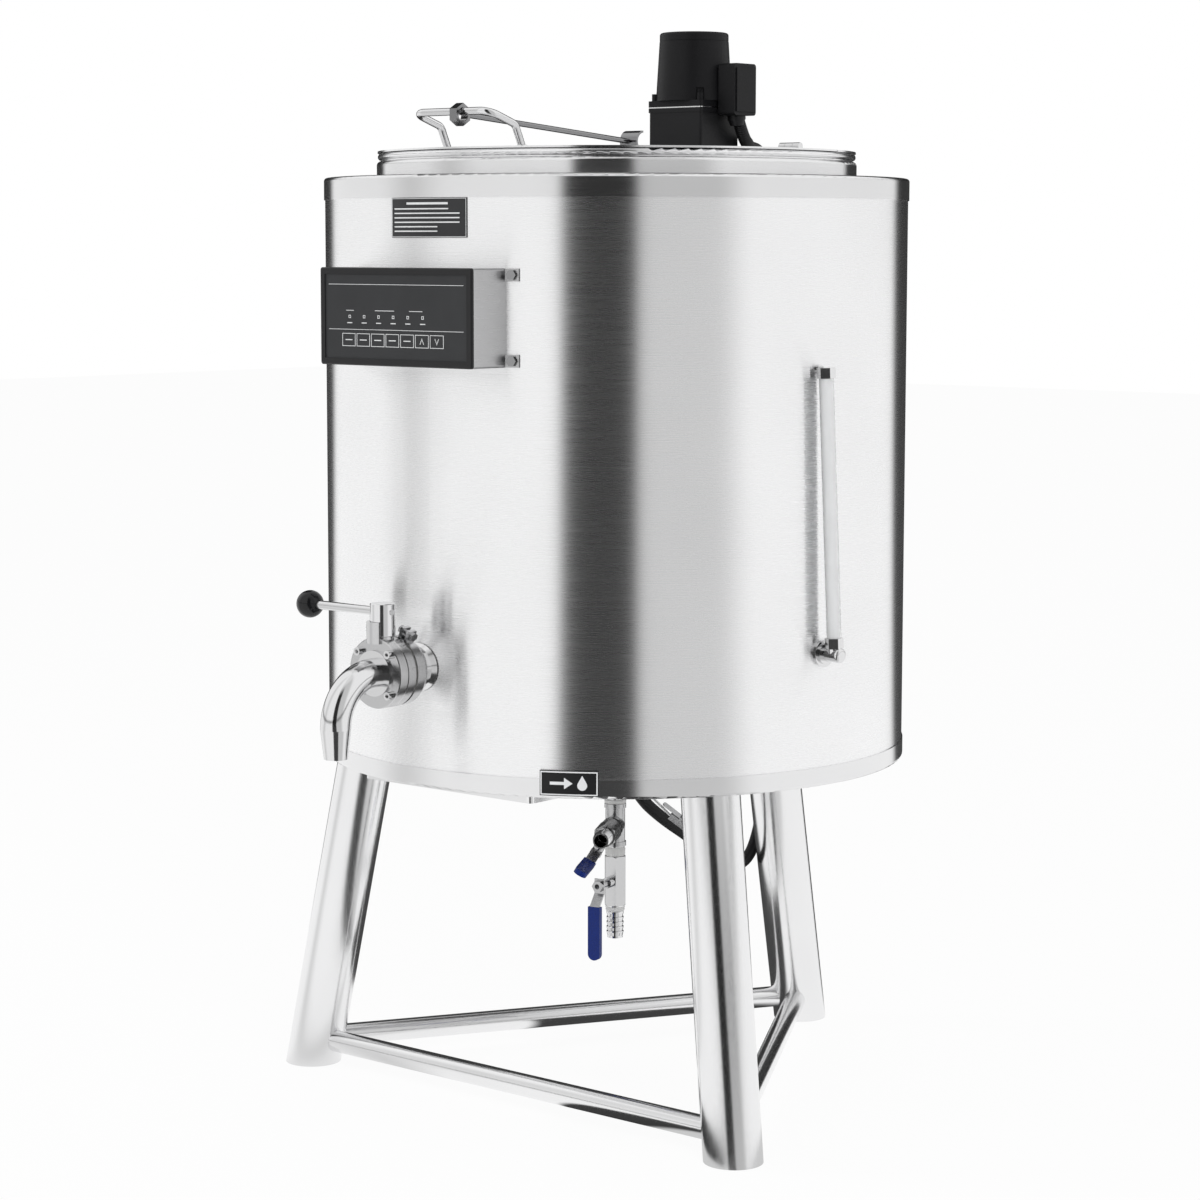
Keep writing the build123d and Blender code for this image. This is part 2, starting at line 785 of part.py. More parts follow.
def control_box_bolts():
    bolts = []
    lug_r = shell_r - sheet
    for side in (-1, 1):
        for z in (box_z_lo + box_bolt_inset, box_z_hi - box_bolt_inset):
            shank = bar_y(box_bolt_r, -lug_r - 2, -lug_r, 0, z)
            head = Pos(0, -lug_r - 2, z) * Rot(90, 0, 0) * hex_bar(box_head_r, box_head_h)
            bolts.append(at_azimuth(side * box_bolt_azimuth) * (shank + head))
    return Compound(children=bolts)


def shell_plate(azimuth, width, height, z, base_r):
    ring = pipe(base_r + plate_t, base_r, z - height / 2, z + height / 2)
    span = degrees(width / base_r)
    reach = base_r + 20
    half = reach * sin(radians(span / 2))
    window = block(-half, half, -reach, -base_r * 0.8, z - height, z + height)
    return at_azimuth(azimuth) * (ring & window)


def name_plate():
    face_r = shell_r - sheet + fit_gap
    return shell_plate(name_plate_azimuth, name_plate_w, name_plate_h, name_plate_z, face_r)


def inlet_label_plate():
    face_r = shell_r + fit_gap
    return shell_plate(inlet_plate_azimuth, inlet_plate_w, inlet_plate_h, inlet_plate_z, face_r)


def gauge_end(end):
    return Vector(*on_azimuth(end["azimuth"], shell_r - sheet + end["standoff"], pan_z + end["rise"]))


def gauge_axis():
    return (gauge_end(gauge_top) - gauge_end(gauge_bottom)).normalized()


def gauge_tube():
    low = gauge_end(gauge_bottom) + gauge_axis() * (gauge_boss_r + fit_gap)
    high = gauge_end(gauge_top) - gauge_axis() * fit_gap
    return bar_between(low, high, gauge_r) - bar_between(low, high, gauge_r - gauge_wall)


def gauge_stub(end, radius, reach):
    """Round bar along the end's radius, from the jacket wall out to a reach past the tube's axis."""
    z = pan_z + end["rise"]
    face = -(shell_r - sheet)
    stub = bar_y(radius, face - end["standoff"] - reach, -jacket_r - jacket_wall, 0, z)
    stub -= post(jacket_r - jacket_wall, z - 2 * radius, z + 2 * radius)
    return at_azimuth(end["azimuth"]) * stub


def wall_flange(end):
    z = pan_z + end["rise"]
    face = -(shell_r - sheet)
    flange = bar_y(wall_flange_r, face - wall_flange_h, face + wall_flange_r, 0, z)
    flange += bar_y(wall_collar_r, face - wall_flange_h - wall_collar_h, face, 0, z)
    flange -= post(shell_r - sheet, z - 2 * wall_flange_r, z + 2 * wall_flange_r)
    return at_azimuth(end["azimuth"]) * flange


def gauge_nut(low, direction, height):
    nut = Plane(origin=low, z_dir=direction) * hex_bar(gauge_nut_r, height)
    return nut


def gauge_fittings():
    """A domed elbow with its nut at the foot, and a closed nut with a thin stub at the top."""
    up = gauge_axis()
    foot = gauge_end(gauge_bottom)
    head = gauge_end(gauge_top)
    boss = gauge_stub(gauge_bottom, gauge_boss_r, gauge_boss_reach)
    boss = fillet(boss.edges().filter_by(GeomType.CIRCLE).sort_by(Axis.X)[-1], gauge_boss_r / 2)
    elbow = boss + wall_flange(gauge_bottom) + bar_between(foot, foot + up * gauge_boss_r, gauge_r)
    elbow += gauge_nut(foot + up * (gauge_boss_r - 1.0), up, gauge_nut_h)
    elbow -= bar_between(foot + up * gauge_boss_r, foot + up * (gauge_boss_r + 2 * gauge_nut_h), gauge_r)
    low = head - up * (gauge_nut_h - gauge_cap_t)
    cap = gauge_nut(low, up, gauge_nut_h) + gauge_stub(gauge_top, gauge_stub_r, -gauge_r)
    cap -= bar_between(low - up, head, gauge_r)
    return Compound(children=[elbow, cap])


def rear_lid():
    plate = post(lid_r, lid_seat_z, rear_lid_top_z)
    plate &= block(-lid_r, lid_r, lid_split_y + lid_split_gap, lid_r, lid_seat_z, rear_lid_top_z)
    return plate - post(shaft_r + shaft_hole_gap, lid_seat_z - 1, rear_lid_top_z + 1, 0, motor_y)


def front_lid():
    plate = post(lid_r, lid_under_z, lid_top_z)
    plate &= block(-lid_r, lid_r, -lid_r, lid_split_y - lid_split_gap, lid_under_z, lid_top_z)
    lip = pipe(lid_lip_r, lid_lip_r - lid_lip_t, lid_under_z - lid_lip_h, lid_under_z)
    lip &= block(-lid_r, lid_r, -lid_r, lid_lip_end_y, lid_under_z - lid_lip_h, lid_under_z)
    return plate + lip


def fixed_hinge_leaves():
    leaves = []
    for centre in (-hinge_x, hinge_x):
        half = hinge_w / 2
        leaf = block(centre - half, centre + half, lid_split_y + lid_split_gap,
                     lid_split_y + hinge_leaf, rear_lid_top_z, rear_lid_top_z + hinge_leaf_t)
        knuckles = bar_x(knuckle_r, centre - half, centre + half, lid_split_y, hinge_z)
        arm = block(centre - half, centre + half, lid_split_y, lid_split_y + knuckle_r,
                    rear_lid_top_z + hinge_leaf_t / 2, hinge_z)
        gap = middle_knuckle / 2 + fit_gap
        body = knuckles + arm
        body -= block(centre - gap, centre + gap, lid_split_y - 10, lid_split_y + 10,
                      rear_lid_top_z, hinge_z + 10)
        leaf -= block(centre - gap, centre + gap, lid_split_y - 10, lid_split_y + knuckle_r + 1,
                      rear_lid_top_z - 1, hinge_z)
        pin = bar_x(hinge_pin_r, centre - half, centre + half, lid_split_y, hinge_z)
        leaves.append(leaf + body + pin)
    return Compound(children=leaves)


def moving_hinge_leaves():
    leaves = []
    for centre in (-hinge_x, hinge_x):
        half = hinge_w / 2
        middle = middle_knuckle / 2
        leaf = block(centre - half, centre + half, lid_split_y - hinge_leaf,
                     lid_split_y - knuckle_r - 1, lid_top_z, lid_top_z + hinge_leaf_t)
        arm = block(centre - middle, centre + middle, lid_split_y - knuckle_r - 2, lid_split_y,
                    lid_top_z, lid_top_z + hinge_leaf_t)
        knuckle = bar_x(knuckle_r, centre - middle, centre + middle, lid_split_y, hinge_z)
        bore = bar_x(hinge_pin_r + running_gap, centre - half, centre + half, lid_split_y, hinge_z)
        leaves.append(leaf + arm + knuckle - bore)
    return Compound(children=leaves)


def lid_handle():
    knee_z = lid_top_z + handle_knee_rise
    half = [
        (handle_foot_x, handle_foot_y, lid_top_z), (handle_foot_x, handle_knee_y, knee_z),
        (handle_foot_x, grip_y, grip_z),
    ]
    other = [(-x, y, z) for x, y, z in reversed(half)]
    bends = [handle_bends[0], handle_bends[1], handle_bends[1], handle_bends[0]]
    bar = wire_sweep(half + other, bends, handle_r)
    feet = [bar_between((side * handle_foot_x, handle_foot_y, lid_top_z),
                        (side * handle_foot_x, handle_foot_y, lid_top_z + 2), handle_r + 1.2)
            for side in (-1, 1)]
    low = block(-lid_r, lid_r, -lid_r, 0, lid_top_z - 2 * lid_t, lid_top_z)
    return bar + feet[0] + feet[1] - low


def prop_rod():
    nut = Pos(ring_x - ring_nut_h / 2, grip_y, prop_z) * Rot(0, 90, 0) * hex_bar(ring_nut_r, ring_nut_h)
    nut -= bar_x(ring_bore_r, ring_x - 20, ring_x + 20, grip_y, prop_z)
    saddle_z = lid_top_z + fit_gap + saddle_r
    start = (ring_x, grip_y + ring_bore_r + 2, prop_z)
    rod = bar_between(start, (ring_x, saddle_y - saddle_r + 1, saddle_z), prop_r)
    half = saddle_w / 2
    saddle = bar_x(saddle_r, ring_x - half, ring_x + half, saddle_y, saddle_z)
    saddle -= bar_x(saddle_r - saddle_t, ring_x - 20, ring_x + 20, saddle_y, saddle_z)
    saddle -= block(ring_x - 20, ring_x + 20, saddle_y, saddle_y + 20, saddle_z - 20, saddle_z + 20)
    return nut + rod + saddle


def gearbox():
    half_x = gear_x / 2
    half_y = gear_y / 2
    body = block(-half_x + gear_inset, half_x - gear_inset, motor_y - half_y + gear_inset,
                 motor_y + half_y - gear_inset, rear_lid_top_z, gear_z_top)
    band = block(-half_x, half_x, motor_y - half_y, motor_y + half_y, gear_z_top - gear_band_h, gear_z_top)
    body = fillet(body.edges().filter_by(Axis.Z), 3.0)
    band = fillet(band.edges().filter_by(Axis.Z), 3.0)
    bore = post(shaft_r + running_gap, rear_lid_top_z - 1, rear_lid_top_z + shaft_grip + 1, 0, motor_y)
    return body + band - bore


def motor_gasket():
    half_x = gear_x / 2 - 0.3
    half_y = gear_y / 2 - 0.3
    sheet_metal = block(-half_x, half_x, motor_y - half_y, motor_y + half_y, gear_z_top, gear_top_z)
    return fillet(sheet_metal.edges().filter_by(Axis.Z), 3.0)


def motor_housing():
    half_x = gear_x / 2
    half_y = gear_y / 2
    flange = block(-half_x, half_x, motor_y - half_y, motor_y + half_y, gear_top_z, flange_top_z)
    flange = fillet(flange.edges().filter_by(Axis.Z), 3.0)
    body = turned([
        (0, flange_top_z), (motor_foot_r, flange_top_z), (motor_top_r + 0.2, motor_cap_z),
        (motor_top_r - 0.6, motor_cap_z), (motor_top_r - 0.6, motor_cap_z + 0.8),
        (motor_top_r, motor_cap_z + 0.8), (motor_top_r, motor_top_z), (0, motor_top_z),
    ], [((motor_top_r, motor_top_z), motor_round)])
    housing = flange + Pos(0, motor_y, 0) * body
    for bolt in motor_bolt_places():
        housing -= post(motor_bolt_r + 0.6, flange_top_z, flange_top_z + motor_bolt_h + 6, *bolt)
    return housing


def motor_bolt_places():
    dx = gear_x / 2 - motor_bolt_inset
    dy = gear_y / 2 - motor_bolt_inset
    return [(sx * dx, motor_y + sy * dy) for sx in (-1, 1) for sy in (-1, 1)]


def motor_bolts():
    bolts = []
    for x, y in motor_bolt_places():
        head = post(motor_bolt_r, flange_top_z, flange_top_z + motor_bolt_h, x, y)
        socket = Pos(x, y, flange_top_z + motor_bolt_h - 3) * hex_bar(2.4, 4.0)
        bolts.append(head - socket)
    return Compound(children=bolts)


def terminal_box():
    box = block(term_x_lo, term_x_hi, term_y_lo, term_y_hi, term_z_lo, term_z_hi)
    box = fillet(box.edges().filter_by(Axis.X), 4.0)
    lid = block(term_x_hi, term_x_hi + term_lid_t, term_y_lo + 3, term_y_hi - 3, term_z_lo + 4, term_z_hi - 5)
    tab = block(gear_x / 2, term_x_lo, term_y_lo + 6, term_y_hi - 6, gear_top_z,
                gear_top_z + term_tab_t)
    return box + lid + tab


def motor_conduit():
    x_in = motor_top_r - 2
    x_out = (term_x_lo + term_x_hi) / 2
    y = motor_y + 6
    z = motor_cap_z - 4
    points = [(x_in, y, z), (x_out, y, z), (x_out, y, term_z_hi)]
    tube = wire_sweep(points, 12.0, small_conduit_r)
    return tube - Pos(0, motor_y, 0) * turned([
        (0, flange_top_z), (motor_foot_r, flange_top_z), (motor_top_r + 0.2, motor_cap_z),
        (motor_top_r, motor_top_z), (0, motor_top_z)])


conduit_route = [
    (53, 149, 1100), (54, 160, 1072), (43, 187, 1063), (10, 225, 1062), (-18, 262, 1066),
    (-33, 311, 1062), (-38, 346, 1010), (-41, 339, 900), (-44, 334, 760), (-46, 333, 600),
    (-45, 334, 460), (-46, 338, 350), (-47, 342, 275), (-48, 333, 226), (-42, 303, 197),
    (-37, 258, 198), (-29, 205, 228), (-23, 162, 253), (-19, 110, 281), (-16, 64, 312),
    (-13, 36, 350), (-12, 26, 388),
]


def conduit_radii(route):
    radii = []
    for before, here, after in zip(route, route[1:], route[2:]):
        first = Vector(*here) - Vector(*before)
        second = Vector(*after) - Vector(*here)
        turn = radians(first.get_angle(second))
        radii.append(0.45 * min(first.length, second.length) / tan(turn / 2))
    return radii


def power_conduit():
    run = wire_sweep(conduit_route, conduit_radii(conduit_route), conduit_r)
    return run - post(3 * conduit_r, term_z_lo, term_z_lo + 30, *conduit_route[0][:2])


def conduit_at(z):
    """Where the conduit's centre line crosses a height on the back of the shell."""
    for upper, lower in zip(conduit_route[5:], conduit_route[6:]):
        if lower[2] <= z <= upper[2]:
            share = (upper[2] - z) / (upper[2] - lower[2])
            return tuple(a + (b - a) * share for a, b in zip(upper, lower))


def conduit_clip(z):
    x, y, _ = conduit_at(z)
    bore = conduit_r + clip_gap
    ring = pipe(bore + clip_t, bore, z - clip_w / 2, z + clip_w / 2, x, y)
    foot = block(x - bore - clip_t - 14, x, y - bore - 20, y + bore, z - clip_w / 2, z + clip_w / 2)
    foot &= pipe(shell_r - sheet + clip_t, shell_r - sheet, z - clip_w, z + clip_w)
    web = block(x - bore - clip_t, x - bore, y - bore - 10, y, z - clip_w / 2, z + clip_w / 2)
    clip = ring + foot + web
    clip -= post(bore, z - clip_w, z + clip_w, x, y)
    return clip - post(shell_r - sheet, z - clip_w, z + clip_w)


def conduit_clips():
    return Compound(children=[conduit_clip(z) for z in clip_heights])


def drain_tee():
    body = post(tee_r, tee_z_bottom, tee_z_top)
    body += post(tee_band_r, tee_z_top - tee_band_h, tee_z_top)
    body += post(tee_band_r, tee_z_bottom, tee_z_bottom + tee_band_h)
    branch = bar_y(tee_r, -tee_branch, 0, 0, tee_z)
    branch += bar_y(tee_band_r, -tee_branch, -tee_branch + tee_band_h, 0, tee_z)
    body += at_azimuth(branch_azimuth) * branch
    body -= post(water_bore_r, tee_z_bottom - 1, tee_z_top + 1)
    body -= at_azimuth(branch_azimuth) * bar_y(water_bore_r, -tee_branch - 1, 0, 0, tee_z)
    return body


def sloped(azimuth, slope):
    """Unit vector towards an azimuth, pointing down by the slope in degrees."""
    level = on_azimuth(azimuth, cos(radians(slope)))
    return Vector(level[0], level[1], -sin(radians(slope)))


def bleed_points():
    """Top of the thin tube, its knee, the start of the tap and the end of the tap."""
    top = Vector(*bleed_start, jacket_bottom_z)
    knee = Vector(*bleed_start, bleed_knee_z)
    start = knee + sloped(bleed_azimuth, bleed_tube_slope) * bleed_tube_len
    end = start + sloped(bleed_azimuth, bleed_slope) * bleed_body_len
    return top, knee, start, end


def bleed_tubes():
    top, knee, start, end = bleed_points()
    tube = bar_between(top, knee, bleed_tube_r) + Pos(knee) * Sphere(bleed_tube_r)
    tube += bar_between(knee, start, bleed_tube_r)
    tube -= bar_between(top + Vector(0, 0, 1), knee, bleed_bore_r)
    tube -= Pos(knee) * Sphere(bleed_bore_r)
    tube -= bar_between(knee, start + (start - knee) * 0.1, bleed_bore_r)
    across = sloped(bleed_azimuth, bleed_slope)
    tube -= bar_between(start, start + across * 10, 3 * bleed_tube_r)
    tail = bar_between(end, end + across * bleed_tail, bleed_tail_r)
    tail -= bar_between(end - across, end + across * (bleed_tail + 1), bleed_tube_r)
    return tube, tail


def pipe_nipples():
    stub = pipe(stub_r, water_bore_r, tee_z_top, jacket_bottom_z)
    lower = pipe(pipe_thread_r, water_bore_r, tee_z_bottom - nipple_gap, tee_z_bottom)
    branch_end = -(inlet_valve_reach - inlet_valve_len / 2)
    branch = bar_y(pipe_thread_r, branch_end, -tee_branch, 0, tee_z)
    branch -= bar_y(water_bore_r, branch_end - 1, -tee_branch + 1, 0, tee_z)
    tubes = bleed_tubes()
    return Compound(children=[stub, lower, at_azimuth(branch_azimuth) * branch, *tubes])


def ball_valve_body(radius, length, ball, bore, stem, neck_radius, neck):
    """Valve body about the origin: flow along Z, stem towards -Y."""
    body = Pos(0, 0, -length / 2) * hex_bar(radius, length)
    trim = Pos(0, 0, -length / 2) * Cylinder(radius, length, align=(Align.CENTER, Align.CENTER, Align.MIN))
    trim = chamfer(trim.edges().filter_by(GeomType.CIRCLE), radius * 0.1)
    body &= trim
    body += bar_y(neck_radius, -neck, 0)
    body -= Sphere(ball + fit_gap)
    body -= post(bore, -length, length)
    return body - bar_y(stem + running_gap, -neck - 1, 0)


def ball_and_stem(ball, bore, stem, reach):
    piece = Sphere(ball) + bar_y(stem, -reach, 0)
    return piece - post(bore, -ball - 1, ball + 1)


def lever_plate(length, width, thick, stem, reach, jog):
    """Flat lever on the stem, running down -Z with an outward jog."""
    back = -reach
    points = [(back, width * 0.6), (back, -length)]
    if jog:
        points[1:] = [(back, -lever_jog_start), (back - jog, -lever_jog_end), (back - jog, -length)]
    outline = offset(Plane.YZ * Polyline(*points), amount=thick / 2, side=Side.BOTH)
    plate = extrude(make_face(outline), width / 2, both=True)
    ends = bar_y(width / 2, back - jog - 5, back + 5, 0, -length + width / 2)
    corners = block(-width, width, back - jog - 5, back + 5, -length - 5, -length + width / 2)
    plate -= corners - ends
    return plate - bar_y(stem, back - 10, back + 10)


def lever_grip(length, width, thick, grip, grip_thick, reach, jog):
    back = -reach - jog
    outer = block(-grip / 2, grip / 2, back - grip_thick / 2, back + grip_thick / 2, -length - 1.5,
                  -lever_jog_end)
    outer = fillet(outer.edges().filter_by(Axis.Y).group_by(Axis.Z)[0], grip / 2 - 0.2)
    inner = lever_plate(length, width, thick, 1.0, reach, jog)
    return outer - inner


def stem_nut(stem, reach, thick, size, height):
    nut = Pos(0, -reach - thick / 2, 0) * Rot(90, 0, 0) * hex_bar(size, height)
    return nut - bar_y(stem - 1.0, -reach - 20, 0)


def water_valve_body(length):
    return ball_valve_body(valve_body_r, length, ball_r, water_bore_r, valve_stem_r,
                           valve_neck_r, neck_len)


def drain_place():
    return Pos(0, 0, drain_valve_z) * at_azimuth(drain_stem_azimuth)


def inlet_place():
    """Flow out along the branch, stem to its left and steeply down."""
    centre = on_azimuth(branch_azimuth, inlet_valve_reach, tee_z)
    flow = sloped(branch_azimuth, 0.0)
    stem = sloped(branch_azimuth - 90.0, inlet_stem_drop)
    return Location(Plane(origin=centre, x_dir=flow.cross(stem), z_dir=flow))


def water_valve_handle(place, reach):
    ball = ball_and_stem(ball_r, ball_bore_r, valve_stem_r, reach + lever_t / 2)
    plate = lever_plate(lever_len, lever_w, lever_t, valve_stem_r, reach, lever_jog)
    nut = stem_nut(valve_stem_r, reach, lever_t, 6.8, 5.0)
    return Compound(children=[place * piece for piece in (ball, plate, nut)])


def water_valve_grip(place, reach):
    return place * lever_grip(lever_len, lever_w, lever_t, grip_w, grip_t, reach, lever_jog)


def hose_barb(length):
    """Threaded hose tail along -Z from the origin, with sloped ridges."""
    points = [(barb_bore_r, 0), (tape_r, 0), (tape_r, -tape_len), (barb_root_r, -tape_len)]
    z = -tape_len - 2.0
    while z - barb_pitch > -tape_len - length:
        points += [(barb_tip_r, z - 0.4), (barb_tip_r, z - 1.2), (barb_root_r, z - barb_pitch)]
        z -= barb_pitch
    points += [(barb_root_r, -tape_len - length), (barb_bore_r, -tape_len - length)]
    return turned(points)


def hose_barbs():
    drain = Pos(0, 0, drain_valve_z - valve_len / 2) * hose_barb(barb_len)
    inlet = inlet_place() * Pos(0, 0, inlet_valve_len / 2) * Rot(180, 0, 0) * hose_barb(inlet_barb_len)
    return Compound(children=[drain, inlet])


def bleed_place():
    """Flow along the sloping tap, stem up and leaning towards the front."""
    start, end = bleed_points()[2:]
    flow = sloped(bleed_azimuth, bleed_slope)
    side = sloped(bleed_azimuth - 90.0, 0.0)
    up = flow.cross(side) * cos(radians(bleed_lean))
    if up.Z < 0:
        up = up * -1
    stem = up + side * sin(radians(bleed_lean))
    return Location(Plane(origin=(start + end) * 0.5, x_dir=flow.cross(stem), z_dir=flow))


def bleed_valve_body():
    return bleed_place() * ball_valve_body(bleed_body_r, bleed_body_len, bleed_ball_r, bleed_tube_r,
                                           bleed_stem_r, bleed_neck_r, bleed_neck_len)


def bleed_valve_handle():
    ball = ball_and_stem(bleed_ball_r, bleed_ball_bore_r, bleed_stem_r, bleed_reach + lever_t / 2)
    plate = lever_plate(bleed_lever_len, bleed_lever_w, lever_t, bleed_stem_r, bleed_reach, 0.0)
    nut = stem_nut(bleed_stem_r, bleed_reach, lever_t, 2.6, 2.2)
    return Compound(children=[bleed_place() * piece for piece in (ball, plate, nut)])


def temperature_probe():
    rod = post(probe_r, vessel_floor_z - 20, vessel_floor_z - 20 + probe_len, probe_x, probe_y)
    rod = fillet(rod.edges().sort_by(Axis.Z)[-1], 3.0)
    nut = Pos(probe_x, probe_y, vessel_floor_z - probe_nut_h) * hex_bar(probe_nut_r, probe_nut_h)
    return rod + nut


nodes = {}


def build_tank():
    nodes["outer_shell"] = outer_shell()
    nodes["shell_top_ring"] = shell_top_ring()
    nodes["shell_bottom_pan"] = shell_bottom_pan()
    nodes["inner_vessel"] = inner_vessel()
    nodes["jacket_tank"] = jacket_tank()
    nodes["insulation"] = insulation()
    nodes["heating_elements"] = heating_elements()
    nodes["heater_cover"] = heater_cover()
    nodes["name_plate"] = name_plate()
    nodes["inlet_label_plate"] = inlet_label_plate()


def build_legs():
    for name, azimuth in leg_azimuths.items():
        nodes[name] = leg(azimuth)
    nodes["brace_front"] = leg_brace(leg_azimuths["leg_left"], leg_azimuths["leg_right"])
    nodes["brace_right"] = leg_brace(leg_azimuths["leg_right"], leg_azimuths["leg_rear"])
    nodes["brace_left"] = leg_brace(leg_azimuths["leg_rear"], leg_azimuths["leg_left"])


def build_outlet():
    nodes["outlet_pipe"] = outlet_pipe()
    nodes["valve_clamp"] = valve_clamp()
    nodes["valve_body_rear"] = valve_body_rear()
    nodes["valve_body_front"] = valve_body_front()
    nodes["valve_seals"] = valve_seals()
    nodes["valve_bolts"] = valve_bolts()
    nodes["spout_elbow"] = spout_elbow()
    nodes["outlet_handle"] = outlet_handle()
    nodes["outlet_flap"] = outlet_flap()
    nodes["handle_knob"] = handle_knob()


def build_controls():
    nodes["control_box"] = control_box()
    nodes["panel_bezel"] = panel_bezel()
    nodes["panel_overlay"] = panel_overlay()
    nodes["control_box_bolts"] = control_box_bolts()
    nodes["gauge_tube"] = gauge_tube()
    nodes["gauge_fittings"] = gauge_fittings()


def build_lids():
    nodes["rear_lid"] = rear_lid()
    nodes["front_lid"] = front_lid()
    nodes["fixed_hinge_leaves"] = fixed_hinge_leaves()
    nodes["moving_hinge_leaves"] = moving_hinge_leaves()
    nodes["lid_handle"] = lid_handle()
    nodes["prop_rod"] = prop_rod()


def build_drive():
    nodes["gearbox"] = gearbox()
    nodes["motor_gasket"] = motor_gasket()
    nodes["motor_housing"] = motor_housing()
    nodes["motor_bolts"] = motor_bolts()
    nodes["terminal_box"] = terminal_box()
    nodes["motor_conduit"] = motor_conduit()
    nodes["power_conduit"] = power_conduit()
    nodes["conduit_clips"] = conduit_clips()
    nodes["agitator_shaft"] = post(shaft_r, shaft_end_z, rear_lid_top_z + shaft_grip, 0, motor_y)
    nodes["agitator_paddle"] = agitator_paddle()


def agitator_paddle():
    low = shaft_end_z
    middle = low + paddle_hub_h / 2
    hub = pipe(paddle_hub_r, shaft_r, low, low + paddle_hub_h)
    for side in (-1, 1):
        blade = block(paddle_hub_r - 2, paddle_hub_r - 2 + blade_len, -blade_t / 2, blade_t / 2,
                      -blade_w / 2, blade_w / 2)
        blade = fillet(blade.edges().filter_by(Axis.Y), 8.0)
        blade = Rot(blade_pitch, 0, 0) * blade
        hub += Pos(0, 0, middle) * Rot(0, 0, 90 - 90 * side) * blade
    hub -= post(shaft_r, low - 50, low + 100)
    return Pos(0, motor_y, 0) * hub


def build_water_line():
    drain = drain_place()
    inlet = inlet_place()
    towards_tail = inlet * Rot(0, 180, 0)
    nodes["drain_tee"] = drain_tee()
    nodes["pipe_nipples"] = pipe_nipples()
    nodes["drain_valve_body"] = drain * water_valve_body(valve_len)
    nodes["inlet_valve_body"] = inlet * water_valve_body(inlet_valve_len)
    nodes["hose_barbs"] = hose_barbs()
    nodes["drain_valve_handle"] = water_valve_handle(drain, drain_stem_reach)
    nodes["inlet_valve_handle"] = water_valve_handle(towards_tail, inlet_stem_reach)
    nodes["drain_valve_grip"] = water_valve_grip(drain, drain_stem_reach)
    nodes["inlet_valve_grip"] = water_valve_grip(towards_tail, inlet_stem_reach)
    nodes["bleed_valve_body"] = bleed_valve_body()
    nodes["bleed_valve_handle"] = bleed_valve_handle()
    nodes["temperature_probe"] = temperature_probe()


build_tank()
build_legs()
build_outlet()
build_controls()
build_lids()
build_drive()
build_water_line()

os.makedirs("parts", exist_ok=True)
for name, shape in nodes.items():
    export_step(shape, f"parts/{name}.step")
print(len(nodes), "nodes; conduit radii", [round(r) for r in conduit_radii(conduit_route)])
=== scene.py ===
"""Looks of a jacketed milk pasteurizer on three legs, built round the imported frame.

Lengths are in metres in the frame's own axes: +Z up, the front faces -Y.
"""
from math import atan2, ceil, cos, degrees, hypot, pi, radians, sin, sqrt

import bmesh
import bpy
from mathutils import Matrix, Vector

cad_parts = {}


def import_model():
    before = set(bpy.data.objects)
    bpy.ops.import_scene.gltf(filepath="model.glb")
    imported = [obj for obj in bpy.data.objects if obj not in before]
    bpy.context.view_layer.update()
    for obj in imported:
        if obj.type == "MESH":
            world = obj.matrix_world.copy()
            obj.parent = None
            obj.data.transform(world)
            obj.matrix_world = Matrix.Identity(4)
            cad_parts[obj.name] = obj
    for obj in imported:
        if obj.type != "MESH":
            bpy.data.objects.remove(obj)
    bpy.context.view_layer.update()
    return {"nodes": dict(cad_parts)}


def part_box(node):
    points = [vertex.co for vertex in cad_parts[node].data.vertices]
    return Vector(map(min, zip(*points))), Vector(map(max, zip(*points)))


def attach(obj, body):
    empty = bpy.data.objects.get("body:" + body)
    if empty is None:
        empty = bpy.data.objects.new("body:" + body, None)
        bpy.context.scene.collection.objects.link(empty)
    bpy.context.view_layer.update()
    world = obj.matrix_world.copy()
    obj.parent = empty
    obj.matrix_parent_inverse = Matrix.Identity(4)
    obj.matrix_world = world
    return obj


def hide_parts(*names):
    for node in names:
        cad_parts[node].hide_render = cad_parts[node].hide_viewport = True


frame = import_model()
nodes = frame["nodes"]
scene = bpy.context.scene
MM = 0.001

# Camera at the photograph's viewing angle
CAMERA_PLACE = Vector((2.2106, -2.65396, 0.94996))
CAMERA_VIEW = Vector((-0.63970, 0.75999, -0.11490))
CAMERA_ROLL = radians(0.083)
CAMERA_LENS = 92.139
CAMERA_SENSOR = 36.0
CAMERA_CLIP = (0.05, 60.0)

# The power conduit's route, in millimetres, from the terminal box to the pan
CONDUIT_ROUTE = [
    (53, 149, 1100), (54, 160, 1072), (43, 187, 1063), (10, 225, 1062), (-18, 262, 1066),
    (-33, 311, 1062), (-38, 346, 1010), (-41, 339, 900), (-44, 334, 760), (-46, 333, 600),
    (-45, 334, 460), (-46, 338, 350), (-47, 342, 275), (-48, 333, 226), (-42, 303, 197),
    (-37, 258, 198), (-29, 205, 228), (-23, 162, 253), (-19, 110, 281), (-16, 64, 312),
    (-13, 36, 350), (-12, 26, 388),
]
CONDUIT_R = 7.3 * MM
SMALL_CONDUIT_R = 4.4 * MM
RIB_PITCH = 2.6 * MM
RIB_DEPTH = 0.9 * MM
RIB_PROFILE = (0.0, 0.35, 1.0, 0.35)

# Rings of a conduit's gland, in millimetres: distance along it and radius
GLAND_COLLAR = [(-2, 10.2), (0, 10.4), (4, 10.4), (6, 9.4), (11, 7.6)]
PRINT_T = 0.15 * MM
WELD_R = 23.0 * MM
WELD_STEPS = 132

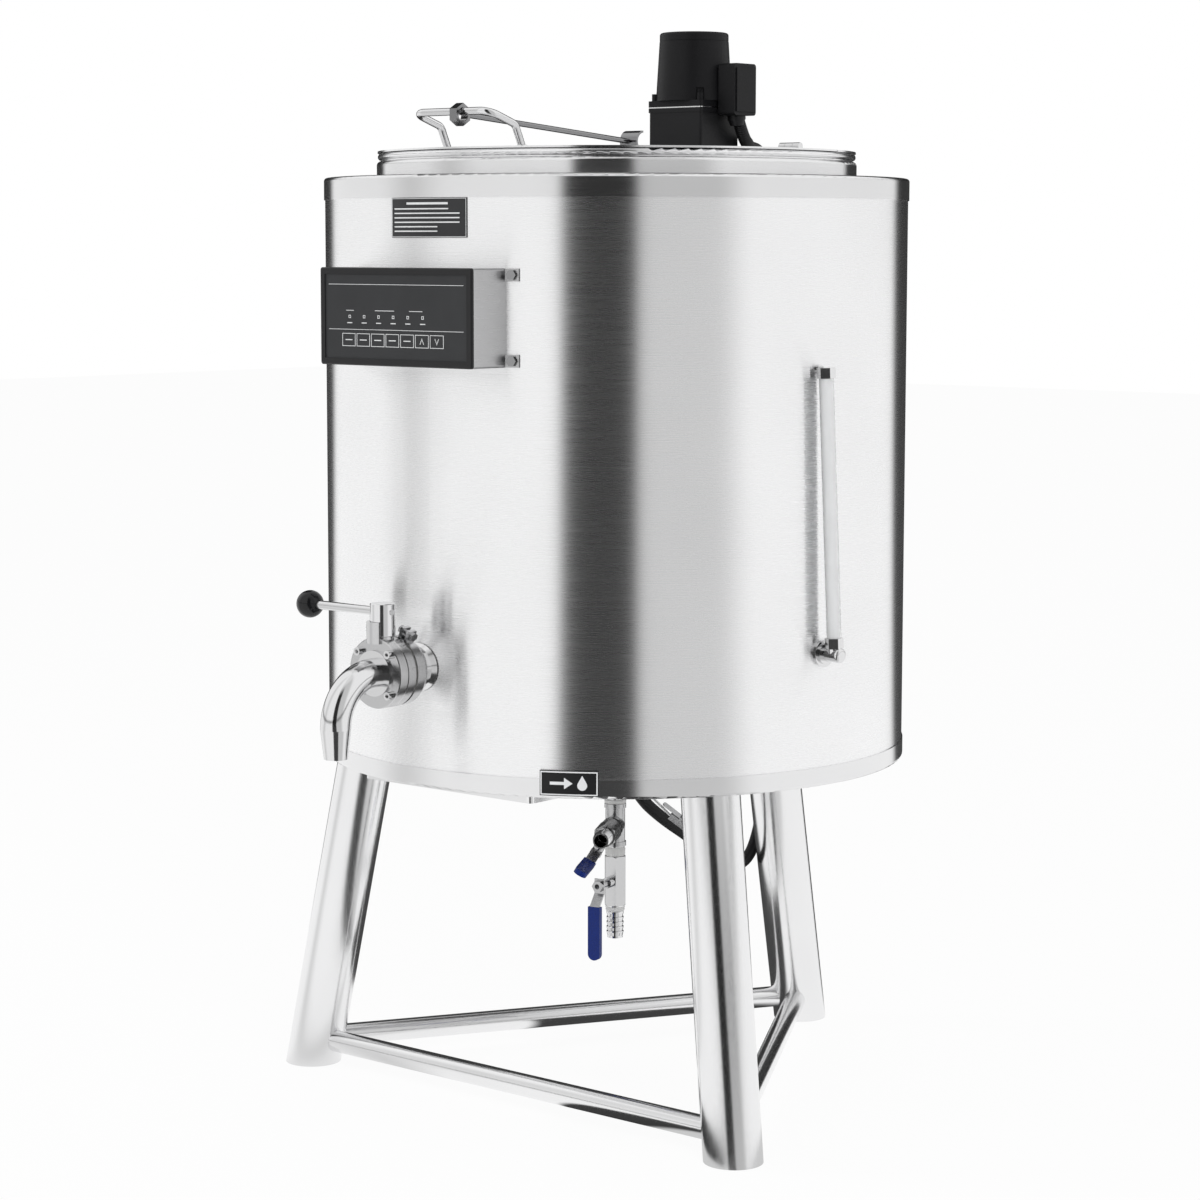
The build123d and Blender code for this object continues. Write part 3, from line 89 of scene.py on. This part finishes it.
# Dark and grey cards of the studio, which the brushed steel shows as upright bands:
# middle and half width in degrees of azimuth, softness of the edge, and how dark each is
STUDIO_CARDS = {
    "behind_camera": (33.5, 14.5, 2.5, 0.975),
    "front_left": (-46.0, 8.0, 12.0, 0.3),
    "right": (65.0, 21.0, 8.0, 0.34),
    "back": (216.0, 36.0, 4.0, 0.96),
}
HORIZON_LINE = 0.1
FLOOR_WHITE = 0.94


def make_camera():
    data = bpy.data.cameras.new("camera")
    data.sensor_width = CAMERA_SENSOR
    data.lens = CAMERA_LENS
    data.clip_start, data.clip_end = CAMERA_CLIP
    camera = bpy.data.objects.new("camera", data)
    scene.collection.objects.link(camera)
    camera.rotation_mode = "QUATERNION"
    turn = CAMERA_VIEW.to_track_quat("-Z", "Y")
    roll = Matrix.Rotation(CAMERA_ROLL, 3, "Z").to_quaternion()
    camera.location = CAMERA_PLACE
    camera.rotation_quaternion = turn @ roll
    scene.camera = camera


class Material:
    """A node material with short helpers for its links."""

    def __init__(self, name, metallic=0.0, roughness=0.5, color=(0.8, 0.8, 0.8)):
        self.data = bpy.data.materials.new(name)
        self.data.use_nodes = True
        self.tree = self.data.node_tree
        self.tree.nodes.clear()
        self.out = self.add("ShaderNodeOutputMaterial")
        self.shader = self.add("ShaderNodeBsdfPrincipled")
        self.link(self.shader, "BSDF", self.out, "Surface")
        self.set("Metallic", metallic)
        self.set("Roughness", roughness)
        self.set("Base Color", (*color, 1.0))

    def add(self, kind, **settings):
        node = self.tree.nodes.new(kind)
        for key, value in settings.items():
            if key in node.inputs:
                node.inputs[key].default_value = value
            else:
                setattr(node, key, value)
        return node

    def link(self, source, output, target, socket):
        self.tree.links.new(source.outputs[output], target.inputs[socket])

    def set(self, socket, value):
        self.shader.inputs[socket].default_value = value

    def place(self, scale=(1, 1, 1)):
        coords = self.add("ShaderNodeTexCoord")
        mapping = self.add("ShaderNodeMapping")
        mapping.inputs["Scale"].default_value = scale
        self.link(coords, "Object", mapping, "Vector")
        return mapping

    def noise(self, scale, detail=3.0, stretch=(1, 1, 1), roughness=0.5):
        texture = self.add("ShaderNodeTexNoise")
        texture.inputs["Scale"].default_value = scale
        texture.inputs["Detail"].default_value = detail
        texture.inputs["Roughness"].default_value = roughness
        self.link(self.place(stretch), "Vector", texture, "Vector")
        return texture

    def ramp(self, source, output, low, high, start=0.3, stop=0.7):
        ramp = self.add("ShaderNodeMapRange")
        ramp.inputs["From Min"].default_value = start
        ramp.inputs["From Max"].default_value = stop
        ramp.inputs["To Min"].default_value = low
        ramp.inputs["To Max"].default_value = high
        self.link(source, output, ramp, "Value")
        return ramp

    def vary_color(self, source, output, first, second, start=0.3, stop=0.7):
        factor = self.ramp(source, output, 0.0, 1.0, start, stop)
        mix = self.add("ShaderNodeMix", data_type="RGBA")
        mix.inputs[6].default_value = (*first, 1.0)
        mix.inputs[7].default_value = (*second, 1.0)
        self.link(factor, "Result", mix, 0)
        self.tree.links.new(mix.outputs[2], self.shader.inputs["Base Color"])
        return mix

    def round_grain(self, amount, turn):
        """Grain that runs round the Z axis, or along it with a quarter turn."""
        self.set("Anisotropic", amount)
        self.set("Anisotropic Rotation", turn)
        tangent = self.add("ShaderNodeTangent", direction_type="RADIAL", axis="Z")
        self.link(tangent, "Tangent", self.shader, "Tangent")

    def bump(self, source, output, strength, distance):
        bump = self.add("ShaderNodeBump")
        bump.inputs["Strength"].default_value = strength
        bump.inputs["Distance"].default_value = distance
        self.link(source, output, bump, "Height")
        self.link(bump, "Normal", self.shader, "Normal")
        return bump


def brushed(name, stretch, color, roughness, grain=1.0, scale=900.0, round_grain=0.0):
    """Stainless steel with fine streaks, longest along the axis with the smallest stretch."""
    made = Material(name, metallic=1.0, roughness=roughness)
    streak = made.noise(scale, 2.0, stretch, 0.6)
    cloud = made.noise(6.0, 3.0)
    darker = tuple(c * 0.96 for c in color)
    made.vary_color(cloud, "Fac", darker, color)
    spread = made.ramp(streak, "Fac", roughness - 0.05 * grain, roughness + 0.07 * grain)
    made.link(spread, "Result", made.shader, "Roughness")
    made.bump(streak, "Fac", 0.02 * grain, 0.0001)
    if round_grain:
        made.round_grain(round_grain, 0.25)
    return made.data


def cast(name, color, roughness):
    """Investment-cast steel with a faint pebbled skin."""
    made = Material(name, metallic=1.0, roughness=roughness)
    pebble = made.noise(700.0, 4.0)
    cloud = made.noise(60.0, 3.0)
    made.vary_color(cloud, "Fac", tuple(c * 0.82 for c in color), color)
    spread = made.ramp(pebble, "Fac", roughness - 0.06, roughness + 0.1)
    made.link(spread, "Result", made.shader, "Roughness")
    made.bump(pebble, "Fac", 0.25, 0.0003)
    return made.data


def plastic(name, color, roughness, grain=0.1, scale=900.0, specular=0.5):
    made = Material(name, roughness=roughness)
    made.set("Specular IOR Level", specular)
    fine = made.noise(scale, 3.0)
    cloud = made.noise(25.0, 2.0)
    made.vary_color(cloud, "Fac", tuple(c * 0.85 for c in color), color)
    spread = made.ramp(fine, "Fac", roughness - 0.06, roughness + 0.08)
    made.link(spread, "Result", made.shader, "Roughness")
    made.bump(fine, "Fac", grain, 0.0002)
    return made.data


def glass(name):
    made = Material(name, roughness=0.06, color=(0.97, 0.975, 0.98))
    made.set("Transmission Weight", 0.55)
    made.set("IOR", 1.3)
    cloud = made.noise(40.0, 2.0)
    spread = made.ramp(cloud, "Fac", 0.04, 0.16)
    made.link(spread, "Result", made.shader, "Roughness")
    return made.data


STEEL = (0.88, 0.88, 0.885)
PALE_STEEL = (0.96, 0.96, 0.965)
LONG_GRAIN = (0.012, 0.012, 1.0)
materials = {
    "shell": brushed("shell_steel", LONG_GRAIN, PALE_STEEL, 0.27, 0.45, 1400.0, round_grain=0.96),
    "cap": brushed("cap_steel", LONG_GRAIN, (0.84, 0.84, 0.845), 0.2, 0.4, 1400.0, round_grain=0.9),
    "satin": brushed("satin_steel", (1.0, 1.0, 0.04), STEEL, 0.17, 0.5),
    "lid": brushed("lid_steel", (0.03, 1.0, 1.0), STEEL, 0.16, 0.5),
    "polished": brushed("polished_steel", (1.0, 1.0, 1.0), (0.78, 0.78, 0.785), 0.11, 0.4, 300.0),
    "turned": brushed("turned_steel", (1.0, 0.03, 1.0), (0.62, 0.62, 0.625), 0.2, 0.8, 900.0),
    "box": brushed("box_steel", (0.03, 0.03, 1.0), (0.55, 0.55, 0.555), 0.3, 0.8, 1200.0),
    "cast": cast("cast_steel", (0.52, 0.52, 0.525), 0.2),
    # Painted reflection: the same steel given a dark base colour, standing in for the dark surroundings
    # it reflects
    "rod": brushed("steel_painted_dark_reflection", (1.0, 0.05, 1.0), (0.3, 0.3, 0.305), 0.14, 0.4, 300.0),
    "motor": plastic("motor_paint", (0.008, 0.008, 0.009), 0.45, 0.3, 500.0, 0.2),
    "gearbox": plastic("gearbox_casting", (0.01, 0.01, 0.011), 0.4, 0.3, 400.0, 0.22),
    "bright": brushed("bright_aluminium", (1.0, 0.05, 1.0), (0.88, 0.88, 0.88), 0.25),
    "black": plastic("black_plastic", (0.009, 0.009, 0.01), 0.4, specular=0.3),
    "knob": plastic("knob_plastic", (0.008, 0.008, 0.009), 0.14, 0.02, specular=0.35),
    "panel": plastic("panel_film", (0.038, 0.039, 0.041), 0.45, 0.1, specular=0.2),
    "bezel": plastic("panel_bezel", (0.014, 0.014, 0.015), 0.4, 0.1, specular=0.3),
    "plate": plastic("plate_film", (0.036, 0.036, 0.038), 0.4, 0.1, specular=0.25),
    "print": plastic("panel_print", (0.82, 0.83, 0.84), 0.5, 0.05),
    "blue": plastic("dipped_grip", (0.003, 0.022, 0.19), 0.3, 0.15, 300.0, 0.25),
    "seal": plastic("seal_silicone", (0.82, 0.82, 0.79), 0.5),
    "tape": plastic("thread_tape", (0.86, 0.86, 0.85), 0.6, 0.6, 200.0),
    "foam": plastic("foam", (0.75, 0.66, 0.42), 0.9, 0.6, 150.0),
    "glass": glass("gauge_glass"),
    "weld": cast("weld_steel", (0.5, 0.5, 0.49), 0.22),
}

node_finish = {
    "shell": ["outer_shell"],
    "cap": ["shell_top_ring", "shell_bottom_pan"],
    # The prop rod and the box bolts take the steel with the painted dark reflection
    "rod": ["prop_rod", "control_box_bolts"],
    "box": ["control_box"],
    "turned": ["valve_clamp", "valve_body_rear", "valve_body_front", "drain_valve_body"],
    "lid": ["rear_lid", "front_lid"],
    "satin": ["inner_vessel", "jacket_tank", "heating_elements", "heater_cover", "leg_left", "leg_right",
              "leg_rear", "brace_front", "brace_left", "brace_right", "conduit_clips",
              "temperature_probe", "agitator_shaft", "agitator_paddle"],
    "polished": ["outlet_pipe", "valve_bolts", "spout_elbow", "gauge_fittings", "fixed_hinge_leaves",
                 "moving_hinge_leaves", "lid_handle", "outlet_handle", "outlet_flap",
                 "pipe_nipples", "hose_barbs"],
    "cast": ["drain_tee", "inlet_valve_body", "bleed_valve_body", "inlet_valve_handle",
             "drain_valve_handle", "bleed_valve_handle"],
    "motor": ["motor_housing", "terminal_box", "motor_bolts"],
    "gearbox": ["gearbox"],
    "bright": ["motor_gasket"],
    "black": ["motor_conduit", "power_conduit"],
    "knob": ["handle_knob"],
    "panel": ["panel_overlay"],
    "bezel": ["panel_bezel", "inlet_label_plate"],
    "plate": ["name_plate"],
    "blue": ["inlet_valve_grip", "drain_valve_grip"],
    "seal": ["valve_seals"],
    "foam": ["insulation"],
    "glass": ["gauge_tube"],
}


def dress_nodes():
    for finish, names in node_finish.items():
        for name in names:
            mesh = nodes[name].data
            mesh.materials.clear()
            mesh.materials.append(materials[finish])


def smooth(obj, angle=35.0):
    bpy.context.view_layer.objects.active = obj
    for face in obj.data.polygons:
        face.use_smooth = True
    obj.data.set_sharp_from_angle(angle=radians(angle))


def rounded(node, width, segments=2):
    """Soft edges on a CAD node, as a modifier."""
    bevel = nodes[node].modifiers.new("soft_edges", "BEVEL")
    bevel.width = width
    bevel.segments = segments
    bevel.limit_method = "ANGLE"
    bevel.angle_limit = radians(50)


def finish_piece(name, bm, finish, body="tank", angle=35.0):
    """Turns a bmesh into a piece with its material and body."""
    bmesh.ops.recalc_face_normals(bm, faces=bm.faces)
    mesh = bpy.data.meshes.new(name)
    bm.to_mesh(mesh)
    bm.free()
    obj = bpy.data.objects.new(name, mesh)
    scene.collection.objects.link(obj)
    mesh.materials.append(materials[finish])
    smooth(obj, angle)
    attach(obj, body)
    return obj


def spline_line(name, route):
    """Points of the smooth line that has the route's points as its control points."""
    curve = bpy.data.curves.new(name, "CURVE")
    curve.dimensions = "3D"
    curve.resolution_u = 24
    spline = curve.splines.new("NURBS")
    spline.points.add(len(route) - 1)
    for point, place in zip(spline.points, route):
        point.co = (*(c * MM for c in place), 1.0)
    spline.order_u = 3
    spline.use_endpoint_u = True
    holder = bpy.data.objects.new(name, curve)
    mesh = bpy.data.meshes.new_from_object(holder)
    line = [vertex.co.copy() for vertex in mesh.vertices]
    bpy.data.objects.remove(holder)
    bpy.data.curves.remove(curve)
    bpy.data.meshes.remove(mesh)
    return line


def even_steps(line, step):
    """The line's points again, evenly spaced."""
    steps = [line[0]]
    left = step
    for start, end in zip(line, line[1:]):
        run = (end - start).length
        while left <= run:
            steps.append(start.lerp(end, left / run))
            left += step
        left -= run
    return steps


def ring_of(bm, place, side, up, radius, sides):
    turns = [2 * pi * i / sides for i in range(sides)]
    return [bm.verts.new(place + (side * cos(a) + up * sin(a)) * radius) for a in turns]


def join_rings(bm, rings, closed=False):
    pairs = list(zip(rings, rings[1:]))
    if closed:
        pairs.append((rings[-1], rings[0]))
    for low, high in pairs:
        for i in range(len(low)):
            j = (i + 1) % len(low)
            bm.faces.new((low[i], low[j], high[j], high[i]))
    if not closed:
        bm.faces.new(rings[0])
        bm.faces.new(rings[-1])


def ribbed_tube(name, line, radius, sides=14):
    """Corrugated tube along a line, with one rib every pitch."""
    steps = even_steps(line, RIB_PITCH / len(RIB_PROFILE))
    bm = bmesh.new()
    rings = []
    side = Vector((1, 0, 0))
    for i, place in enumerate(steps):
        ahead = (steps[min(i + 1, len(steps) - 1)] - steps[max(i - 1, 0)]).normalized()
        side = (side - ahead * side.dot(ahead)).normalized()
        depth = RIB_DEPTH * RIB_PROFILE[i % len(RIB_PROFILE)]
        rings.append(ring_of(bm, place, side, ahead.cross(side), radius - depth, sides))
    join_rings(bm, rings)
    return finish_piece(name, bm, "black", angle=60.0)


def turned_piece(name, profile, place, axis, finish, sides=32, body="tank"):
    """Round piece from (distance along the axis, radius) steps in millimetres."""
    bm = bmesh.new()
    ahead = Vector(axis).normalized()
    side = ahead.orthogonal().normalized()
    up = ahead.cross(side)
    start = Vector(place)
    rings = [ring_of(bm, start + ahead * along * MM, side, up, r * MM, sides) for along, r in profile]
    join_rings(bm, rings)
    return finish_piece(name, bm, finish, body)


def power_conduit():
    """The one free cord, with a gland at the terminal box and one at the pan."""
    line = spline_line("power_line", CONDUIT_ROUTE)
    conduit = ribbed_tube("power_conduit_ribbed", line, CONDUIT_R)
    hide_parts("power_conduit")
    box_low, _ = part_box("terminal_box")
    start = (line[0].x, line[0].y, box_low.z)
    turned_piece("conduit_gland", GLAND_COLLAR, start, (0, 0.12, -1), "black")
    pan_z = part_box("shell_bottom_pan")[0].z
    end = min(line[-200:], key=lambda point: abs(point.z - pan_z))
    turned_piece("pan_gland", GLAND_COLLAR, (end.x, end.y, pan_z), (0, 0, -1), "black")


def motor_conduit():
    """Short ribbed link from the motor's side down into the terminal box."""
    low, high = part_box("motor_conduit")
    small_r = SMALL_CONDUIT_R / MM
    mid = (low.y + high.y) / 2 / MM
    left, right = low.x / MM, high.x / MM - small_r
    top, bottom = high.z / MM - small_r, low.z / MM
    route = [(left + 2, mid, top), (left + 8, mid, top), (right, mid, top), (right, mid, bottom + 4),
             (right, mid, bottom)]
    small = ribbed_tube("motor_conduit_ribbed", spline_line("motor_line", route), SMALL_CONDUIT_R)
    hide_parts("motor_conduit")


def box_bar(bm, x0, x1, z0, z1, y):
    """Thin raised bar on the panel's face, in millimetres, y its face."""
    corners = [Vector((x, y + t, z)) * MM for t in (0.0, -PRINT_T / MM)
               for x, z in ((x0, z0), (x1, z0), (x1, z1), (x0, z1))]
    v = [bm.verts.new(c) for c in corners]
    for face in ((0, 1, 2, 3), (4, 5, 6, 7), (0, 1, 5, 4), (1, 2, 6, 5), (2, 3, 7, 6), (3, 0, 4, 7)):
        bm.faces.new([v[i] for i in face])


def panel_outline(bm, x0, z0, width, height, y, line=0.6):
    box_bar(bm, x0, x0 + width, z0, z0 + line, y)
    box_bar(bm, x0, x0 + width, z0 + height - line, z0 + height, y)
    box_bar(bm, x0, x0 + line, z0 + line, z0 + height - line, y)
    box_bar(bm, x0 + width - line, x0 + width, z0 + line, z0 + height - line, y)


def panel_arrow(bm, x, z, up, y):
    """Chevron of short steps, pointing up or down."""
    for i in range(9):
        rise = 5.0 - abs(i - 4) * 1.25
        mid = z + (rise - 2.5) * (1 if up else -1)
        box_bar(bm, x - 2.7 + i * 0.6, x - 2.1 + i * 0.6, mid - 0.7, mid + 0.7, y)


def panel_print():
    """Plain rules, indicator marks, key outlines and two arrows on the panel's film."""
    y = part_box("panel_overlay")[0].y / MM
    bm = bmesh.new()
    for z in (908.4, 861.6):
        box_bar(bm, -96, 96, z, z + 0.5, y)
    for left, right in ((-70.4, -59.4), (-28.6, -1.2), (20.0, 38.8)):
        box_bar(bm, left, right, 881.3, 881.9, y)
    for i in range(6):
        x = -65.3 + 20.9 * i
        panel_outline(bm, x - 1.6, 873.6, 3.2, 3.2, y)
        box_bar(bm, x - 3.6, x + 3.6, 868.2, 869.2, y)
    for i in range(7):
        x = -76.3 + 20.95 * i
        panel_outline(bm, x, 844.3, 19.0, 13.5, y)
        if i < 5:
            box_bar(bm, x + 4.5, x + 14.5, 850.5, 851.5, y)
        else:
            panel_arrow(bm, x + 9.5, 851.0, i == 5, y)
    finish_piece("panel_lines", bm, "print")


def shell_strip(bm, radius, azimuth, s0, s1, z0, z1):
    """Thin raised strip on the round shell: s along the shell from the azimuth, in millimetres."""
    count = max(1, ceil((s1 - s0) / 4))
    columns = []
    for i in range(count + 1):
        turn = radians(azimuth) + (s0 + (s1 - s0) * i / count) / radius
        column = []
        outer = radius + PRINT_T / MM
        for r, z in ((radius, z0), (outer, z0), (outer, z1), (radius, z1)):
            column.append(bm.verts.new(Vector((r * sin(turn), -r * cos(turn), z)) * MM))
        columns.append(column)
    join_rings(bm, columns)


def plate_radius(node):
    return max(hypot(v.co.x, v.co.y) for v in nodes[node].data.vertices) / MM


def plate_frame(node, edge, line):
    """A white line just inside a plate's edge; gives the bmesh and the plate's measures."""
    radius = plate_radius(node)
    spread = [atan2(v.co.x, -v.co.y) for v in nodes[node].data.vertices]
    azimuth = degrees((min(spread) + max(spread)) / 2)
    half = (max(spread) - min(spread)) / 2 * radius - edge
    low, high = (corner.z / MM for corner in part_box(node))
    low += edge
    high -= edge
    bm = bmesh.new()
    shell_strip(bm, radius, azimuth, -half, half, low, low + line)
    shell_strip(bm, radius, azimuth, -half, half, high - line, high)
    shell_strip(bm, radius, azimuth, -half, line - half, low + line, high - line)
    shell_strip(bm, radius, azimuth, half - line, half, low + line, high - line)
    return bm, radius, azimuth, half, low, high


def name_plate_print():
    bm, radius, azimuth, half, low, high = plate_frame("name_plate", 0.6, 0.5)
    shell_strip(bm, radius, azimuth, -28, 28, high - 6.5, high - 4.2)
    for i in range(6):
        z = high - 11.5 - i * 4.6
        right = half - 22 if i in (0, 4, 5) else half - 8
        shell_strip(bm, radius, azimuth, 4 - half, right - (14 if i > 3 else 0), z, z + 1.3)
    finish_piece("name_plate_lines", bm, "print")


def shell_shape(bm, radius, azimuth, outline):
    """Flat raised shape on the round shell, from (s, z) corners in millimetres."""
    corners = []
    for s, z in outline:
        turn = radians(azimuth) + s / radius
        reach = radius + PRINT_T / MM
        corners.append(bm.verts.new(Vector((reach * sin(turn), -reach * cos(turn), z)) * MM))
    bm.faces.new(corners)


def inlet_plate_print():
    """A white edge, a droplet and an arrow that points in to the droplet."""
    bm, radius, azimuth, half, low, high = plate_frame("inlet_label_plate", 0.8, 1.3)
    mid = (low + high) / 2
    drop_x, drop_r = 14, 5.2
    turns = [radians(150 + 12 * i) for i in range(21)]
    drop = [(drop_x + drop_r * cos(a), mid - 2.0 + drop_r * sin(a)) for a in turns]
    shell_shape(bm, radius, azimuth, drop + [(drop_x, mid + 8.5)])
    shell_strip(bm, radius, azimuth, -20, -4, mid - 1.6, mid + 1.6)
    shell_shape(bm, radius, azimuth, [(-5, mid - 6), (4, mid), (-5, mid + 6)])
    finish_piece("inlet_plate_lines", bm, "print")


def outlet_weld():
    """Lumpy weld bead where the outlet pipe meets the round shell."""
    low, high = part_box("outlet_pipe")
    middle = (low.z + high.z) / 2
    shell_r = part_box("outer_shell")[1].x
    radius = WELD_R
    bm = bmesh.new()
    rings = []
    for i in range(WELD_STEPS):
        turn = 2 * pi * i / WELD_STEPS
        out = Vector((cos(turn), 0, sin(turn)))
        x = radius * cos(turn)
        place = Vector((x, -sqrt(shell_r ** 2 - x ** 2) - 0.6 * MM, middle + radius * sin(turn)))
        thick = (1.0 + 1.0 * abs(sin(turn * 22)) + 0.2 * sin(turn * 7)) * MM
        rings.append(ring_of(bm, place, out, Vector((0, -1, 0)), thick, 8))
    join_rings(bm, rings, closed=True)
    finish_piece("outlet_weld", bm, "weld", angle=50.0)


def tape_rings():
    """White thread tape in the screwed joints of the water line."""
    valve_low, valve_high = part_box("drain_valve_body")
    _, tee_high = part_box("drain_tee")
    places = {"tape_tee_top": (tee_high.z, 5.0, 12.6), "tape_tee_low": (valve_high.z, 11.0, 11.6),
              "tape_valve_low": (valve_low.z - 7.0 * MM, 6.6, 11.0)}
    for name, (z, height, radius) in places.items():
        wound = [(0.2, radius - 0.8), (height * 0.25, radius), (height * 0.45, radius - 0.3),
                 (height * 0.7, radius + 0.1), (height - 0.2, radius - 0.9)]
        turned_piece(name, wound, (0, 0, z), (0, 0, 1), "tape")


def math_node(tree, operation, first, *values):
    node = tree.nodes.new("ShaderNodeMath")
    node.operation = operation
    tree.links.new(first, node.inputs[0])
    for i, value in enumerate(values, 1):
        if isinstance(value, float):
            node.inputs[i].default_value = value
        else:
            tree.links.new(value, node.inputs[i])
    return node.outputs[0]


def range_node(tree, source, start, stop, low, high):
    node = tree.nodes.new("ShaderNodeMapRange")
    node.interpolation_type = "SMOOTHSTEP"
    for i, value in enumerate((start, stop, low, high), 1):
        node.inputs[i].default_value = value
    tree.links.new(source, node.inputs[0])
    return node.outputs[0]


def card_brightness(tree, parts):
    """White all round the tank, dark or grey where a card stands."""
    back = math_node(tree, "MULTIPLY", parts.outputs["Y"], -1.0)
    turn = math_node(tree, "ARCTAN2", parts.outputs["X"], back)
    azimuth = math_node(tree, "MULTIPLY", turn, 180.0 / pi)
    level = None
    for middle, half, soft, dark in STUDIO_CARDS.values():
        offset = math_node(tree, "SUBTRACT", azimuth, middle)
        offset = math_node(tree, "WRAP", offset, 180.0, -180.0)
        offset = math_node(tree, "ABSOLUTE", offset)
        card = range_node(tree, offset, half - soft, half + soft, 1.0 - dark, 1.0)
        level = card if level is None else math_node(tree, "MULTIPLY", level, card)
    return level


def separate(tree, output):
    coords = tree.nodes.new("ShaderNodeTexCoord")
    parts = tree.nodes.new("ShaderNodeSeparateXYZ")
    tree.links.new(coords.outputs[output], parts.inputs[0])
    return parts


def studio_brightness(tree):
    """The cards, with a plain pale ceiling over them and a dark line just above the floor."""
    parts = separate(tree, "Generated")
    level = card_brightness(tree, parts)
    height = parts.outputs["Z"]
    line = math_node(tree, "ABSOLUTE", math_node(tree, "SUBTRACT", height, HORIZON_LINE))
    line = range_node(tree, line, 0.02, 0.05, 0.35, 1.0)
    ceiling = range_node(tree, height, 0.7, 0.95, 0.0, 0.85)
    return math_node(tree, "MAXIMUM", math_node(tree, "MULTIPLY", level, line), ceiling)


def glow_shader(tree, kind, strength):
    node = tree.nodes.new(kind)
    if isinstance(strength, float):
        node.inputs["Strength"].default_value = strength
    else:
        tree.links.new(strength, node.inputs["Strength"])
    node.inputs["Color"].default_value = (1, 1, 1, 1)
    return node.outputs[0]


def mixed(tree, amount, first, second):
    mix = tree.nodes.new("ShaderNodeMixShader")
    tree.links.new(amount, mix.inputs[0])
    tree.links.new(first, mix.inputs[1])
    tree.links.new(second, mix.inputs[2])
    return mix.outputs[0]


def floor():
    """White paper to the eye, which still takes the tank's shadow and shows the cards in metal."""
    made = Material("floor_paper", roughness=0.9)
    made.set("Base Color", (0.92, 0.92, 0.92, 1.0))
    made.set("Specular IOR Level", 0.1)
    tree = made.tree
    path = made.add("ShaderNodeLightPath")
    shown = made.shader.outputs["BSDF"]
    cards = glow_shader(tree, "ShaderNodeEmission", card_brightness(tree, separate(tree, "Object")))
    white = glow_shader(tree, "ShaderNodeEmission", 1.0)
    for ray, share, glow in (("Is Glossy Ray", 0.96, cards), ("Is Camera Ray", FLOOR_WHITE, white)):
        amount = math_node(tree, "MULTIPLY", path.outputs[ray], share)
        shown = mixed(tree, amount, shown, glow)
    tree.links.new(shown, made.out.inputs["Surface"])
    bpy.ops.mesh.primitive_plane_add(size=30.0, location=(0, 0, -0.0005))
    plane = bpy.context.object
    plane.name = "floor"
    plane.data.materials.append(made.data)


def world():
    """Soft light, white to the camera, and the studio's cards to glossy rays."""
    space = bpy.data.worlds.new("studio")
    scene.world = space
    space.use_nodes = True
    tree = space.node_tree
    tree.nodes.clear()
    out = tree.nodes.new("ShaderNodeOutputWorld")
    path = tree.nodes.new("ShaderNodeLightPath")
    shown = glow_shader(tree, "ShaderNodeBackground", 0.62)
    for ray, level in (("Is Glossy Ray", studio_brightness(tree)), ("Is Transmission Ray", 1.0),
                       ("Is Camera Ray", 1.0)):
        glow = glow_shader(tree, "ShaderNodeBackground", level)
        shown = mixed(tree, path.outputs[ray], shown, glow)
    tree.links.new(shown, out.inputs["Surface"])


def area_light(name, place, target, size, power, height=None):
    data = bpy.data.lights.new(name, "AREA")
    data.energy = power
    data.shape = "RECTANGLE"
    data.size = size
    data.size_y = height or size
    light = bpy.data.objects.new(name, data)
    scene.collection.objects.link(light)
    light.visible_glossy = False
    light.location = place
    light.rotation_mode = "QUATERNION"
    light.rotation_quaternion = (Vector(target) - Vector(place)).to_track_quat("-Z", "Y")
    return light


make_camera()
power_conduit()
motor_conduit()
scene.view_settings.view_transform = "Standard"
world()
floor()
area_light("key", (3.2, -2.2, 2.2), (0, 0, 0.7), 1.6, 60, 2.4)
area_light("left", (-3.0, -1.8, 1.6), (0, 0, 0.7), 1.2, 40, 2.4)
dress_nodes()
for grip in ("inlet_valve_grip", "drain_valve_grip"):
    rounded(grip, 1.4 * MM, 3)
rounded("panel_bezel", 1.2 * MM)
rounded("terminal_box", 1.5 * MM)
panel_print()
name_plate_print()
inlet_plate_print()
outlet_weld()
tape_rings()
for name, obj in nodes.items():
    smooth(obj)
